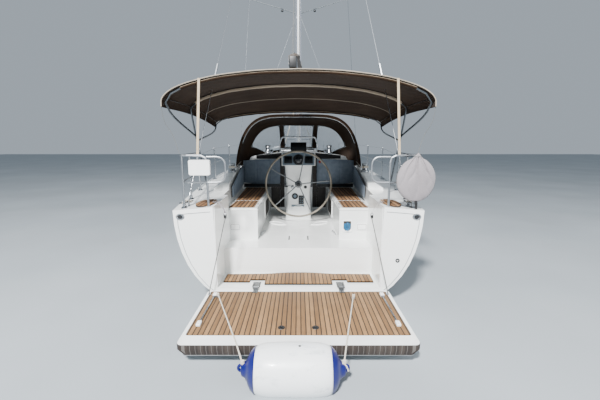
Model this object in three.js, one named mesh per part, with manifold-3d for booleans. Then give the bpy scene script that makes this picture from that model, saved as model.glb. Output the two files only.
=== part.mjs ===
// Cruising sloop, about ten metres of hull, seen at its berth with the bathing platform down.
// Millimetres. +X to starboard, +Y to the bow, +Z up, origin amidships in the waterline.
import * as THREE from 'three';
import { mergeVertices } from 'three/addons/utils/BufferGeometryUtils.js';
import Module from 'manifold-3d';

const wasm = await Module();
wasm.setup();

// Driving dimensions
const GAP = 0.3;                 // clearance left between pieces that touch
const TRANSOM_Y = -4850;
const BOW_Y = 4900;
const CAMBER = 70;               // rise of the deck at the centreline
const SIDES = [['port', -1], ['starboard', 1]];

const SOLE_Z = 567;              // cockpit floor
const SEAT_Z = 978;              // moulded seat under the teak
const TEAK = 30;                 // thickness of a teak lid or seat top
const SEAT_INNER_X = 557;
const SEAT_AFT_Y = -4043;
const BULKHEAD_Y = -1800;        // aft face of the cabin
const RISER_Y = -4424;           // aft edge of the cockpit floor
const STEP_Z = 228;              // moulded step behind the platform

const HINGE_Y = -4862;           // platform hinge
const HINGE_Z = 240;
const HINGE_X = 492;
const PLATFORM = { halfWidth: 1030, front: -4857, aft: -5910, bottom: 90, top: 182, teak: 18 };
const TEAK_FIT = 2;              // room between the platform's teak and its recess
const TEAK_MARGIN = { side: 32, fore: 28, back: 138 };   // white rim left round the platform's teak

const WHEEL = { y: -3047, z: 1214, radius: 535, rim: 16 };
const POD_LOW = 1505;            // underside of the instrument pod on the pedestal
const RUDDER = { y: -4150, stock: 38, bore: 38.7 };
const PROP = { y: -1890, z: -790 };
const MAST = { y: 965, foot: 1690, top: 14850, halfX: 62, halfY: 88 };
const GOOSENECK = { y: 832, z: 2870 };
const BOOM = { length: 4400, rise: 0.027, swing: 0.0175, height: 170, width: 110 };
const BACKSTAY = { footX: 1270, footY: -4700, footZ: 1190, splitZ: 10000 };

// Materials
function paint(color, roughness, metalness = 0) {
  return new THREE.MeshStandardMaterial({ color, roughness, metalness });
}
const WHITE = paint(0xf1f2f0, 0.25);
const TEAKWOOD = paint(0xa9774f, 0.7);
const STEEL = paint(0xc9ccd0, 0.22, 1);
const ALUMINIUM = paint(0xd9dbdd, 0.4, 0.9);
const SMOKED = paint(0x20262b, 0.1);
const CANVAS = paint(0x6b6055, 0.9);
const COVER = paint(0x5d554c, 0.9);
const GREY = paint(0x5e6266, 0.55);
const BLACK = paint(0x17181a, 0.5);
const ANTIFOUL = paint(0x27364d, 0.8);
const BRONZE = paint(0xa8894f, 0.35, 1);
const GALVANISED = paint(0x9b9ea1, 0.55, 0.9);
const SAILCLOTH = paint(0xe8e6df, 0.8);

// Shape helpers
function solid(geometry) {
  const bare = geometry.index ? geometry.clone() : geometry;
  bare.deleteAttribute('normal');
  bare.deleteAttribute('uv');
  const merged = mergeVertices(bare, 1e-4);
  const index = Uint32Array.from(merged.index.array);
  const kept = [];
  for (let i = 0; i < index.length; i += 3) {
    const [a, b, c] = [index[i], index[i + 1], index[i + 2]];
    if (a !== b && b !== c && a !== c) kept.push(a, b, c);
  }
  return new wasm.Manifold(new wasm.Mesh({
    numProp: 3,
    vertProperties: Float32Array.from(merged.attributes.position.array),
    triVerts: Uint32Array.from(kept),
  }));
}

function geometryOf(manifold) {
  const mesh = manifold.getMesh();
  const geometry = new THREE.BufferGeometry();
  geometry.setAttribute('position', new THREE.BufferAttribute(Float32Array.from(mesh.vertProperties), 3));
  geometry.setIndex(new THREE.BufferAttribute(Uint32Array.from(mesh.triVerts), 1));
  return geometry;
}

function join(list) {
  return list.reduce((whole, piece) => whole.add(piece));
}

function cut(body, list) {
  return list.reduce((whole, tool) => whole.subtract(tool), body);
}

function raised(manifold, dx, dy, dz) {
  return solid(geometryOf(manifold).translate(dx, dy, dz));
}

// A body moved a little each way, so that what is cut by it keeps a gap.
function grown(body) {
  const moves = [[GAP, 0, 0], [-GAP, 0, 0], [0, GAP, 0], [0, -GAP, 0], [0, 0, GAP], [0, 0, -GAP]];
  return join(moves.map(([dx, dy, dz]) => raised(body, dx, dy, dz)));
}

function boxGeometry(x0, x1, y0, y1, z0, z1) {
  const box = new THREE.BoxGeometry(Math.abs(x1 - x0), Math.abs(y1 - y0), Math.abs(z1 - z0));
  return box.translate((x0 + x1) / 2, (y0 + y1) / 2, (z0 + z1) / 2);
}

function block(x0, x1, y0, y1, z0, z1) {
  return solid(boxGeometry(x0, x1, y0, y1, z0, z1));
}

// A loft through rings of equal length, closed by flat caps, its skin turned to face outward.
function loft(rings) {
  const count = rings[0].length;
  const positions = rings.flatMap((ring) => ring.flat());
  const index = [];
  for (let r = 0; r < rings.length - 1; r += 1) {
    for (let i = 0; i < count; i += 1) {
      const j = (i + 1) % count;
      const [a, b] = [r * count + i, r * count + j];
      index.push(a, b, b + count, a, b + count, a + count);
    }
  }
  index.push(...capTriangles(rings[0]).flatMap(([a, b, c]) => [a, c, b]));
  const offset = (rings.length - 1) * count;
  index.push(...capTriangles(rings[rings.length - 1]).flat().map((i) => i + offset));
  if (signedVolume(positions, index) < 0) {
    for (let i = 0; i < index.length; i += 3) [index[i + 1], index[i + 2]] = [index[i + 2], index[i + 1]];
  }
  const geometry = new THREE.BufferGeometry();
  geometry.setAttribute('position', new THREE.Float32BufferAttribute(positions, 3));
  geometry.setIndex(index);
  return geometry;
}

// Triangles of a flat ring, each running the same way round as the ring.
function capTriangles(ring) {
  const flat = flattened(ring);
  const triangles = THREE.ShapeUtils.triangulateShape(flat, []);
  const total = triangles.reduce((sum, tri) => sum + THREE.ShapeUtils.area(tri.map((i) => flat[i])), 0);
  const same = total * THREE.ShapeUtils.area(flat) > 0;
  return same ? triangles : triangles.map(([a, b, c]) => [a, c, b]);
}

// Drops the coordinate along which a ring is flat.
function flattened(points) {
  const spans = [0, 1, 2].map((k) => {
    const values = points.map((p) => p[k]);
    return Math.max(...values) - Math.min(...values);
  });
  const thin = spans.indexOf(Math.min(...spans));
  const [u, v] = [0, 1, 2].filter((k) => k !== thin);
  return points.map((p) => new THREE.Vector2(p[u], p[v]));
}

function signedVolume(positions, index) {
  let volume = 0;
  for (let i = 0; i < index.length; i += 3) {
    const [a, b, c] = [0, 1, 2].map((k) => new THREE.Vector3().fromArray(positions, 3 * index[i + k]));
    volume += a.dot(b.cross(c));
  }
  return volume;
}

function rodGeometry(a, b, radiusA, radiusB = radiusA, sides = 6) {
  const from = new THREE.Vector3(...a);
  const to = new THREE.Vector3(...b);
  const along = to.clone().sub(from);
  const rod = new THREE.CylinderGeometry(radiusB, radiusA, along.length(), sides);
  const turn = new THREE.Quaternion().setFromUnitVectors(new THREE.Vector3(0, 1, 0), along.normalize());
  return rod.applyQuaternion(turn).translate(...from.add(to).multiplyScalar(0.5).toArray());
}

function rod(a, b, radiusA, radiusB = radiusA, sides = 6) {
  return solid(rodGeometry(a, b, radiusA, radiusB, sides));
}

// A bent tube: straight runs with a curve of the given reach at each corner.
function pipe(points, radius, bend = 80, steps = 30, sides = 6) {
  const at = points.map((p) => new THREE.Vector3(...p));
  const path = new THREE.CurvePath();
  let start = at[0];
  for (let i = 1; i < at.length - 1; i += 1) {
    const before = at[i].clone().add(at[i - 1].clone().sub(at[i]).setLength(bend));
    const after = at[i].clone().add(at[i + 1].clone().sub(at[i]).setLength(bend));
    path.add(new THREE.LineCurve3(start, before));
    path.add(new THREE.QuadraticBezierCurve3(before, at[i], after));
    start = after;
  }
  path.add(new THREE.LineCurve3(start, at[at.length - 1]));
  return sweep(path, radius, steps, sides);
}

function sweep(path, radius, steps = 24, sides = 6) {
  const ring = new THREE.Shape();
  for (let i = 0; i < sides; i += 1) {
    const turn = (2 * Math.PI * i) / sides;
    const spot = [radius * Math.cos(turn), radius * Math.sin(turn)];
    if (i === 0) ring.moveTo(...spot);
    else ring.lineTo(...spot);
  }
  ring.closePath();
  return solid(new THREE.ExtrudeGeometry(ring, { steps, bevelEnabled: false, extrudePath: path }));
}

function arc(points) {
  return new THREE.CatmullRomCurve3(points.map((p) => new THREE.Vector3(...p)));
}

// An outline drawn in X and Z, run along Y.
function plateXZ(outline, y0, y1) {
  const rings = [y0, y1].map((y) => outline.map(([x, z]) => [x, y, z]));
  return solid(loft(rings));
}

// An outline drawn in Y and Z, run across X.
function plateYZ(outline, x0, x1) {
  const rings = [x0, x1].map((x) => outline.map(([y, z]) => [x, y, z]));
  return solid(loft(rings));
}

// An outline drawn in X and Y, run up Z.
function plateXY(outline, z0, z1) {
  const rings = [z0, z1].map((z) => outline.map(([x, y]) => [x, y, z]));
  return solid(loft(rings));
}

// Rounded rectangle as a list of corners, for plates.
function roundedRect(x0, x1, y0, y1, r, steps = 4) {
  const centres = [[x1 - r, y1 - r, 0], [x0 + r, y1 - r, 1], [x0 + r, y0 + r, 2], [x1 - r, y0 + r, 3]];
  const points = [];
  for (const [cx, cy, quarter] of centres) {
    for (let i = 0; i <= steps; i += 1) {
      const turn = (Math.PI / 2) * (quarter + i / steps);
      points.push([cx + r * Math.cos(turn), cy + r * Math.sin(turn)]);
    }
  }
  return points;
}

// Smooth value of one column of a table, read at y.
function read(table, key, y) {
  const last = table.length - 1;
  let i = table.findIndex((row) => row.y >= y);
  i = i < 0 ? last : Math.max(i, 1);
  const [p, q] = [table[i - 1], table[i]];
  const slope = (a, b) => (b[key] - a[key]) / (b.y - a.y);
  const into = i - 1 > 0 ? slope(table[i - 2], q) : slope(p, q);
  const out = i < last ? slope(p, table[i + 1]) : slope(p, q);
  const span = q.y - p.y;
  const t = Math.min(Math.max((y - p.y) / span, 0), 1);
  const rise = q[key] - p[key];
  const cubic = (into + out) * span - 2 * rise;
  const square = 3 * rise - (2 * into + out) * span;
  return p[key] + t * (into * span + t * (square + t * cubic));
}

// Hull: y, half beam at the deck edge, height of the deck edge, height of the canoe body's
// bottom, and the two exponents of the section's curve.
const HULL = [
  [TRANSOM_Y, 1395, 1134, -30, 3.4, 2.0],
  [-3400, 1590, 1160, -265, 3.0, 2.1],
  [-1900, 1690, 1195, -395, 2.7, 2.1],
  [-400, 1710, 1235, -450, 2.5, 2.0],
  [1100, 1620, 1285, -430, 2.2, 1.9],
  [2400, 1350, 1335, -350, 1.9, 1.75],
  [3500, 930, 1385, -220, 1.65, 1.6],
  [4300, 500, 1425, -60, 1.45, 1.5],
  [4700, 235, 1443, 140, 1.35, 1.4],
  [4840, 120, 1449, 480, 1.3, 1.4],
  [BOW_Y, 45, 1452, 1040, 1.3, 1.4],
].map(([y, beam, sheer, keel, p, q]) => ({ y, beam, sheer, keel, p, q }));

function deckZ(x, y) {
  const beam = read(HULL, 'beam', y);
  return read(HULL, 'sheer', y) + CAMBER * (1 - Math.min(1, (x / beam) ** 2));
}

function hullRing(y) {
  const [beam, sheer, keel, p, q] = ['beam', 'sheer', 'keel', 'p', 'q'].map((key) => read(HULL, key, y));
  const half = [];
  const steps = 11;
  for (let i = 1; i <= steps; i += 1) {
    const turn = (Math.PI / 2) * (i / steps);
    half.push([beam * Math.sin(turn) ** (2 / p), sheer - (sheer - keel) * Math.cos(turn) ** (2 / q)]);
  }
  const deck = [0.7, 0.35].map((part) => [beam * part, sheer + CAMBER * (1 - part * part)]);
  const right = [...half, ...deck];
  return [
    [0, y, keel],
    ...right.map(([x, z]) => [x, y, z]),
    [0, y, sheer + CAMBER],
    ...[...right].reverse().map(([x, z]) => [-x, y, z]),
  ];
}

function hullLoft() {
  const stations = 22;
  const rings = [];
  for (let i = 0; i <= stations; i += 1) {
    const part = i / stations;
    const eased = 0.45 * part + 0.55 * Math.sin((Math.PI / 2) * part);
    rings.push(hullRing(TRANSOM_Y + (BOW_Y - TRANSOM_Y) * eased));
  }
  return solid(loft(rings));
}

// Cockpit: y, half width between the coamings at seat height.
const COAMING_Y = -3535;
function seatHalfWidth(y) {
  return THREE.MathUtils.mapLinear(y, SEAT_AFT_Y, BULKHEAD_Y, 1010, 1130);
}

function cockpitCuts() {
  const top = 1600;
  const footwell = block(-SEAT_INNER_X, SEAT_INNER_X, RISER_Y, BULKHEAD_Y, SOLE_Z, top);
  const gate = [[-933, SOLE_Z], [933, SOLE_Z], [962, top], [-962, top]];
  const aftWell = plateXZ(gate, TRANSOM_Y - 50, SEAT_AFT_Y);
  const step = block(-933, 933, TRANSOM_Y - 50, RISER_Y, STEP_Z, SOLE_Z + 10);
  const seats = [-1, 1].flatMap((s) => [[s * seatHalfWidth(SEAT_AFT_Y), SEAT_AFT_Y - 1],
    [s * seatHalfWidth(BULKHEAD_Y), BULKHEAD_Y]].map((p, i) => [p, s, i]));
  const [portAft, portFore, starAft, starFore] = seats.map(([p]) => p);
  const bench = plateXY([starAft, starFore, portFore, portAft], SEAT_Z, top);
  return [footwell, aftWell, step, bench];
}

// Lockers below the seats, and the shallow recesses in the seats' inner faces.
function lockerCuts() {
  return SIDES.flatMap(([, s]) => [
    block(s * 630, s * 890, -3960, -3520, 640, SEAT_Z + 10),
    block(s * (SEAT_INNER_X - 5), s * (SEAT_INNER_X + 28), -3000, -2300, 660, 920),
  ]);
}

// Cabin space below the deck: y, half width at the deck, half width at the floor.
function cabinCut() {
  const rows = [[-1740, 900, 620], [300, 850, 600], [1900, 560, 380], [2700, 330, 170]];
  const floor = -150;
  const rings = rows.map(([y, high, low]) => [
    [-low, y, floor], [low, y, floor], [high, y, 1100], [high, y, 1700], [-high, y, 1700], [-high, y, 1100],
  ]);
  return solid(loft(rings));
}

const COMPANIONWAY = { half: 290, sill: 1008 };
const ANCHOR_WELL = { y0: 4020, y1: 4500, halfAft: 300, halfFore: 160, seat: 1455 };
const PLATE = 14;                // thickness of a lid let into the deck

function anchorOutline(inset) {
  const { y0, y1, halfAft, halfFore } = ANCHOR_WELL;
  return [[-halfAft + inset, y0 + inset], [halfAft - inset, y0 + inset],
    [halfFore - inset, y1 - inset], [-halfFore + inset, y1 - inset]];
}

function hullBody() {
  const doorway = block(-COMPANIONWAY.half, COMPANIONWAY.half, -1850, -1700, COMPANIONWAY.sill, 1700);
  const chainWell = plateXY(anchorOutline(40), 1050, 1700);
  const lidSeat = plateXY(anchorOutline(0), ANCHOR_WELL.seat, 1700);
  const bore = rod([0, RUDDER.y, -700], [0, RUDDER.y, 300], RUDDER.bore, RUDDER.bore, 24);
  return cut(hullLoft(), [...cockpitCuts(), ...lockerCuts(), cabinCut(), doorway, chainWell, lidSeat, bore]);
}

// Parts are collected here in the order in which they are made.
const yacht = new THREE.Group();
function add(name, shape, material) {
  const geometry = shape.isBufferGeometry ? shape : geometryOf(shape);
  const mesh = new THREE.Mesh(geometry, material);
  mesh.name = name;
  yacht.add(mesh);
  return shape;
}

// The cockpit moulding is let into the hull: seats, sole and the bulkhead forward of them.
const MOULDING = { half: 1100, fore: -1730, low: 480 };
function mouldingRoom(gap) {
  const { half, fore, low } = MOULDING;
  return block(-half - gap, half + gap, SEAT_AFT_Y - gap, fore + gap, low - gap, 1700);
}
const wholeHull = hullBody();
const hullRaised = raised(wholeHull, 0, 0, GAP);
add('hull', wholeHull.subtract(mouldingRoom(GAP)), WHITE);
add('cockpit', wholeHull.intersect(mouldingRoom(0)), WHITE);

// Coachroof: y, half width at the foot, half width at the roof, height of the roof, of its centre.
const ROOF = [
  [BULKHEAD_Y, 1120, 960, 1640, 1700],
  [-500, 1110, 930, 1655, 1715],
  [900, 1000, 800, 1625, 1680],
  [2100, 760, 560, 1560, 1600],
  [2900, 520, 330, 1480, 1500],
].map(([y, foot, brow, side, crown]) => ({ y, foot, brow, side, crown }));

function roofRing(y, wall) {
  const [foot, brow, side, crown] = ['foot', 'brow', 'side', 'crown'].map((key) => read(ROOF, key, y) - wall);
  const round = 70;
  const right = [[foot, 1120], [brow + 14, side - round], [brow - 18, side - 18], [brow - 90, side],
    [brow * 0.5, THREE.MathUtils.lerp(side, crown, 0.75)]];
  const lower = wall ? [[foot, 1000]] : [[foot + 10, 1000]];
  const all = [...lower, ...right.slice(1), [0, crown]];
  return [...all.map(([x, z]) => [x, y, z]), ...all.slice(0, -1).reverse().map(([x, z]) => [-x, y, z])];
}

function roofLoft(wall, y0, y1, steps) {
  const rings = [];
  for (let i = 0; i <= steps; i += 1) rings.push(roofRing(y0 + ((y1 - y0) * i) / steps, wall));
  return solid(loft(rings));
}

const WALL = 40;
const HATCH = { half: 305, y0: BULKHEAD_Y, y1: -1160 };
const WINDOW = { y0: -1180, y1: 1500 };

function windowOutline(inset) {
  const [y0, y1] = [WINDOW.y0 + inset, WINDOW.y1 - inset];
  return [[y0, 1395 + inset], [y1 - 3 * inset, 1462 + inset], [y1 - 150 - 3 * inset, 1520 - inset],
    [-200, 1560 - inset], [y0, 1560 - inset]];
}

function coachroof() {
  const shell = roofLoft(0, BULKHEAD_Y, 2900, 10);
  const inside = roofLoft(WALL, BULKHEAD_Y + WALL, 2900 - WALL, 8);
  const door = block(-COMPANIONWAY.half, COMPANIONWAY.half, BULKHEAD_Y - 10, BULKHEAD_Y + WALL + 10, 1000, 1800);
  const hatch = block(-COMPANIONWAY.half, COMPANIONWAY.half, BULKHEAD_Y - 10, HATCH.y1, 1560, 1800);
  const windows = SIDES.map(([, s]) => plateYZ(windowOutline(0), s * 600, s * 1200));
  const foreHatch = block(-230, 230, 1950, 2410, 1450, 1700);
  return cut(shell, [inside, door, hatch, ...windows, foreHatch, hullRaised, block(-1500, 1500, -2000, 3000, 900, 1200)]);
}

const roofTop = add('coachroof', coachroof(), WHITE);
const roofCrown = grown(roofLoft(0, BULKHEAD_Y, 2900, 10));

// Windows: dark panes standing in the cut openings, flush with the outside of the wall.
function windowPane(s) {
  const band = roofLoft(2, BULKHEAD_Y, 2900, 10).subtract(roofLoft(12, BULKHEAD_Y - 1, 2901, 10));
  return band.intersect(plateYZ(windowOutline(GAP + 0.2), s * 600, s * 1200));
}
for (const [side, s] of SIDES) add(`window_${side}`, windowPane(s), SMOKED);

// Companionway: hatch on two runners, its garage, and the washboard in the doorway.
const HATCH_Z = 1722;
function companionwayHatch() {
  const pane = plateXZ([[-HATCH.half, HATCH_Z], [HATCH.half, HATCH_Z], [HATCH.half, HATCH_Z + 18],
    [0, HATCH_Z + 24], [-HATCH.half, HATCH_Z + 18]], HATCH.y0 - 10, HATCH.y1);
  const handle = block(-120, 120, HATCH.y0 + 20, HATCH.y0 + 45, HATCH_Z + 10, HATCH_Z + 50);
  return pane.add(handle);
}
function hatchGarage() {
  const outer = plateXZ([[-395, 1640], [395, 1640], [370, 1775], [0, 1800], [-370, 1775]], HATCH.y1 - 20, -430);
  const inner = block(-330, 330, HATCH.y1 - 30, -470, 1600, 1768);
  const rails = SIDES.map(([, s]) => block(s * 312, s * 345, HATCH.y0, HATCH.y1 - 20, 1600, 1750));
  const runners = SIDES.map(([, s]) => block(s * 296, s * 345, HATCH.y0, -480, 1600, HATCH_Z - GAP));
  const joined = join([cut(outer, [inner]), ...rails, ...runners]);
  return joined.subtract(roofCrown);
}
add('companionway_hatch', companionwayHatch(), SMOKED);
add('hatch_garage', hatchGarage(), WHITE);
add('washboard', block(-282, 282, BULKHEAD_Y + 12, BULKHEAD_Y + 26, COMPANIONWAY.sill + GAP, HATCH_Z - 8), SMOKED);

// Foredeck hatch in its opening, hinged at its forward edge, and the lid of the anchor well.
const FORE_HATCH = { y0: 1930, y1: 2430, thick: 26 };
function foreHatch() {
  const { y0, y1, thick } = FORE_HATCH;
  const [z0, z1] = [read(ROOF, 'crown', y0), read(ROOF, 'crown', y1)];
  const pane = plateYZ([[y0, z0 - thick], [y1, z1 - thick], [y1, z1 + thick], [y0, z0 + thick]], -250, 250);
  const rim = plateYZ([[y0 + 32, z0 - 30], [y1 - 30, z1 - 26], [y1 - 30, z1 + 10], [y0 + 32, z0 + 10]], -222, 222);
  return join([pane.subtract(roofCrown), rim.subtract(grown(roofTop))]);
}
add('foredeck_hatch', foreHatch(), SMOKED);
add('anchor_well_lid', anchorLid(), WHITE);
function anchorLid() {
  return plateXY(anchorOutline(6), ANCHOR_WELL.seat + GAP, ANCHOR_WELL.seat + PLATE);
}

// Under water: keel with its bulb, drive leg, propeller, rudder and the engine as one block.
function keelBody() {
  // y of the leading edge, length, half thickness, z
  const fin = [[1150, 1500, 95, -330], [1080, 1350, 90, -900], [1000, 1180, 80, -1700]];
  const rings = fin.map(([lead, length, half, z]) => foil(lead, length, half, z));
  const bulbRows = [[1240, 10], [1150, 110], [900, 190], [500, 215], [0, 180], [-400, 90], [-650, 20]];
  const bulb = bulbRows.map(([y, r]) => {
    const ring = [];
    for (let i = 0; i < 12; i += 1) {
      const turn = (Math.PI / 6) * i;
      ring.push([r * 1.05 * Math.cos(turn), y, -1760 + r * 0.85 * Math.sin(turn)]);
    }
    return ring;
  });
  return solid(loft(rings)).add(solid(loft(bulb))).subtract(raised(wholeHull, 0, 0, -GAP));
}

// Section of a keel or rudder, nose forward.
function foil(lead, length, half, z, x = 0) {
  const outline = [[0, 0], [0.03, 0.55], [0.12, 0.9], [0.3, 1], [0.6, 0.68], [0.85, 0.3], [1, 0.05]];
  const right = outline.map(([along, wide]) => [x + wide * half, lead - along * length, z]);
  const left = outline.slice(1).reverse().map(([along, wide]) => [x - wide * half, lead - along * length, z]);
  return [...right, ...left];
}

function driveLeg() {
  const rings = [foil(-1500, 330, 62, -250), foil(-1540, 270, 50, -620), foil(-1560, 240, 44, -700)];
  const leg = solid(loft(rings));
  const gearRows = [[-1520, 20], [-1560, 52], [-1700, 62], [-1840, 50]];
  const gear = solid(loft(gearRows.map(([y, r]) => ringXZ(y, PROP.z, r, 12))));
  const plate = solid(loft([foil(-1560, 240, 44, -690), foil(-1560, 240, 44, -790)]));
  return join([leg, plate, gear]).subtract(raised(wholeHull, 0, 0, -GAP));
}

function ringXZ(y, z, r, sides) {
  return Array.from({ length: sides }, (_, i) => {
    const turn = (2 * Math.PI * i) / sides;
    return [r * Math.cos(turn), y, z + r * Math.sin(turn)];
  });
}

function propeller() {
  const hub = solid(loft([[-1840 - GAP, 48], [-1900, 44], [-1950, 18]].map(([y, r]) => ringXZ(y, PROP.z, r, 12))));
  const blades = [0, 1].map((k) => {
    const rows = [[25, 60, 0.9], [110, 120, 0.7], [180, 105, 0.5], [215, 45, 0.42]];
    const rings = rows.map(([r, chord, pitch]) => {
      const [c, s] = [Math.cos(pitch), Math.sin(pitch)];
      return [[-0.5, -5], [0.5, -5], [0.5, 5], [-0.5, 5]].map(([u, t]) => {
        const [across, along] = [u * chord * c - t * s, u * chord * s + t * c];
        return k ? [-r, PROP.y - along, PROP.z + across] : [r, PROP.y - along, PROP.z - across];
      });
    });
    return solid(loft(rings));
  });
  return join([hub, ...blades]);
}

function rudder() {
  const rings = [foil(RUDDER.y + 110, 480, 50, -215), foil(RUDDER.y + 80, 420, 42, -900), foil(RUDDER.y + 50, 300, 28, -1640)];
  const stock = rod([0, RUDDER.y, -700], [0, RUDDER.y, 290], RUDDER.stock, RUDDER.stock, 24);
  return solid(loft(rings)).add(stock);
}

add('keel', keelBody(), ANTIFOUL);
add('drive_leg', driveLeg(), GREY);
add('propeller', propeller(), BRONZE);
add('rudder', rudder(), ANTIFOUL);
add('engine', block(-250, 250, -1700, -1120, -150 + GAP, 450), GREY);

// Transom: teak step cut clear of the hinges, platform, its teak, hinges and side rails.
function transomStep() {
  const bulge = [];
  for (let i = 0; i <= 8; i += 1) {
    const x = 360 - 90 * i;
    bulge.push([x, RISER_Y - GAP - 40 + 38 * Math.sin((Math.PI * i) / 8)]);
  }
  const aftEdge = [[400, -4776], [400, -4650], [584, -4650], [584, -4710], [895, -4710]];
  const mirrored = aftEdge.map(([x, y]) => [-x, y]).reverse();
  const foreEdge = [[895, -4487], [440, -4475], ...bulge, [-440, -4475], [-895, -4487]];
  return plateXY([...mirrored, ...aftEdge, ...foreEdge], STEP_Z + GAP, STEP_Z + 20);
}

function platformBody() {
  const { halfWidth, front, aft, bottom, top, teak } = PLATFORM;
  const outline = roundedRect(-halfWidth, halfWidth, aft, front, 45, 3);
  const low = roundedRect(-halfWidth + 40, halfWidth - 40, aft + 22, front, 40, 3);
  const rings = [low.map(([x, y]) => [x, y, bottom]), outline.map(([x, y]) => [x, y, bottom + 55]),
    outline.map(([x, y]) => [x, y, top + teak])];
  const { side, fore, back } = TEAK_MARGIN;
  const inset = plateXY(roundedRect(-halfWidth + side, halfWidth - side, aft + back, front - fore, 25, 3), top, 400);
  return solid(loft(rings)).subtract(inset);
}

function platformTeak() {
  const { halfWidth, front, aft, top, teak } = PLATFORM;
  const side = halfWidth - TEAK_MARGIN.side - TEAK_FIT;
  const back = aft + TEAK_MARGIN.back + TEAK_FIT;
  const outline = roundedRect(-side, side, back, front - TEAK_MARGIN.fore - TEAK_FIT, 24, 3);
  return plateXY(outline, top + GAP, top + teak);
}

function hingeLeaf(x) {
  const top = PLATFORM.top + PLATFORM.teak;
  const leaf = block(x - 27, x + 27, -4925, -4851, top + GAP, top + 6);
  const web = block(x - 27, x + 27, HINGE_Y - 10, HINGE_Y + 10, top + 3, HINGE_Z);
  return join([leaf, web, rod([x - 27, HINGE_Y, HINGE_Z], [x + 27, HINGE_Y, HINGE_Z], 11, 11, 12)]);
}

function hingeBracket(x) {
  const base = block(x - 45, x + 45, -4846, -4700, STEP_Z + GAP, STEP_Z + 7);
  const cheeks = [-1, 1].map((s) => {
    const outline = [[-4730, STEP_Z + GAP], [-4730, STEP_Z + 10], [HINGE_Y + 8, HINGE_Z + 14],
      [HINGE_Y - 12, HINGE_Z + 12], [HINGE_Y - 14, HINGE_Z - 6], [HINGE_Y + 6, STEP_Z + GAP]];
    return plateYZ(outline, x + s * (27 + GAP), x + s * 36);
  });
  return join([base, ...cheeks]);
}

const RAIL_X = 925;
function sideRail(s) {
  const top = PLATFORM.top + PLATFORM.teak;
  const tube = rod([s * RAIL_X, -5010, top + 14], [s * RAIL_X, -5600, top + 14], 9);
  const ends = [-5020, -5590].map((y) => block(s * RAIL_X - 17, s * RAIL_X + 17, y - 30, y + 30, top + GAP, top + 24));
  return join([tube, ...ends]);
}

add('transom_step', transomStep(), TEAKWOOD);
add('platform', platformBody(), WHITE);
add('platform_teak', platformTeak(), TEAKWOOD);
for (const [side, s] of SIDES) {
  add(`platform_hinge_${side}`, hingeLeaf(s * HINGE_X), STEEL);
  add(`hinge_bracket_${side}`, hingeBracket(s * HINGE_X), STEEL);
  add(`platform_rail_${side}`, sideRail(s), STEEL);
}

// Cockpit: locker lids, seat teak, coamings and winches.
const LID = { y0: -4030, y1: -3450, x0: 560, x1: 960 };
function lockerLid(s) {
  return plateXY(roundedRect(Math.min(s * LID.x0, s * LID.x1), Math.max(s * LID.x0, s * LID.x1), LID.y0, LID.y1, 22, 3),
    SEAT_Z + GAP, SEAT_Z + TEAK);
}
function seatTeak(s) {
  const outline = [[s * LID.x0, -3430], [s * 970, -3430], [s * 1060, -1840], [s * LID.x0, -1840]];
  return plateXY(outline, SEAT_Z + GAP, SEAT_Z + TEAK);
}

// Coaming: y, inner edge, outer edge at the deck, top height, width of the top.
function coaming(s) {
  const rows = [[COAMING_Y, 1045, 1290, 1200, 90], [COAMING_Y + 90, 1048, 1310, 1285, 120],
    [-2900, 1080, 1340, 1340, 130], [-2300, 1112, 1365, 1450, 130], [BULKHEAD_Y - GAP, 1140, 1385, 1490, 120]];
  const rings = rows.map(([y, inner, outer, top, width]) => [
    [s * inner, y, 1080], [s * outer, y, 1080], [s * (outer - 25), y, 1215],
    [s * (inner + width + 20), y, top - 15], [s * (inner + width - 5), y, top], [s * (inner + 25), y, top],
    [s * (inner + 4), y, top - 15],
  ]);
  return solid(loft(rings)).subtract(hullRaised);
}

// Winch: radius and height from the base, as a turned profile.
function winch(x, y, z) {
  const profile = [[0, 0], [72, 0], [72, 22], [60, 30], [46, 60], [46, 100], [60, 128], [60, 142], [30, 150], [0, 150]];
  const body = new THREE.LatheGeometry(profile.map(([r, h]) => new THREE.Vector2(r, h)), 14);
  return solid(body.rotateX(Math.PI / 2).translate(x, y, z));
}

const coamings = {};
for (const [side, s] of SIDES) {
  add(`locker_lid_${side}`, lockerLid(s), TEAKWOOD);
  add(`seat_teak_${side}`, seatTeak(s), TEAKWOOD);
  coamings[side] = add(`coaming_${side}`, coaming(s), WHITE);
  const seat = raised(coamings[side], 0, 0, GAP);
  add(`winch_${side}`, winch(s * 1170, -2620, 1384).subtract(seat), STEEL);
}

// Steering: pedestal, instrument pod and wheel.
function pedestal() {
  const rows = [[SOLE_Z + GAP, 228, -2770, -2440], [700, 214, -2752, -2440], [900, 202, -2738, -2460],
    [1060, 202, -2738, -2475], [1300, 222, -2755, -2490], [POD_LOW, 234, -2785, -2500]];
  const rings = rows.map(([z, half, aft, fore]) => roundedRect(-half, half, aft, fore, 55, 3).map(([x, y]) => [x, y, z]));
  const shaft = rod([0, -2700, WHEEL.z], [0, WHEEL.y + 35 + GAP, WHEEL.z], 38, 30, 14);
  return solid(loft(rings)).add(shaft);
}

function instrumentPod() {
  const low = POD_LOW + GAP;
  const outline = [[-2838, low], [-2495, low], [-2470, 1620], [-2540, 1722], [-2600, 1740], [-2762, 1740], [-2778, 1728]];
  const body = plateYZ(outline, -285, 285);
  const plotter = plateYZ([[-2752, 1735], [-2680, 1735], [-2650, 1890], [-2715, 1898]], -138, 138);
  return body.add(plotter);
}

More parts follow.
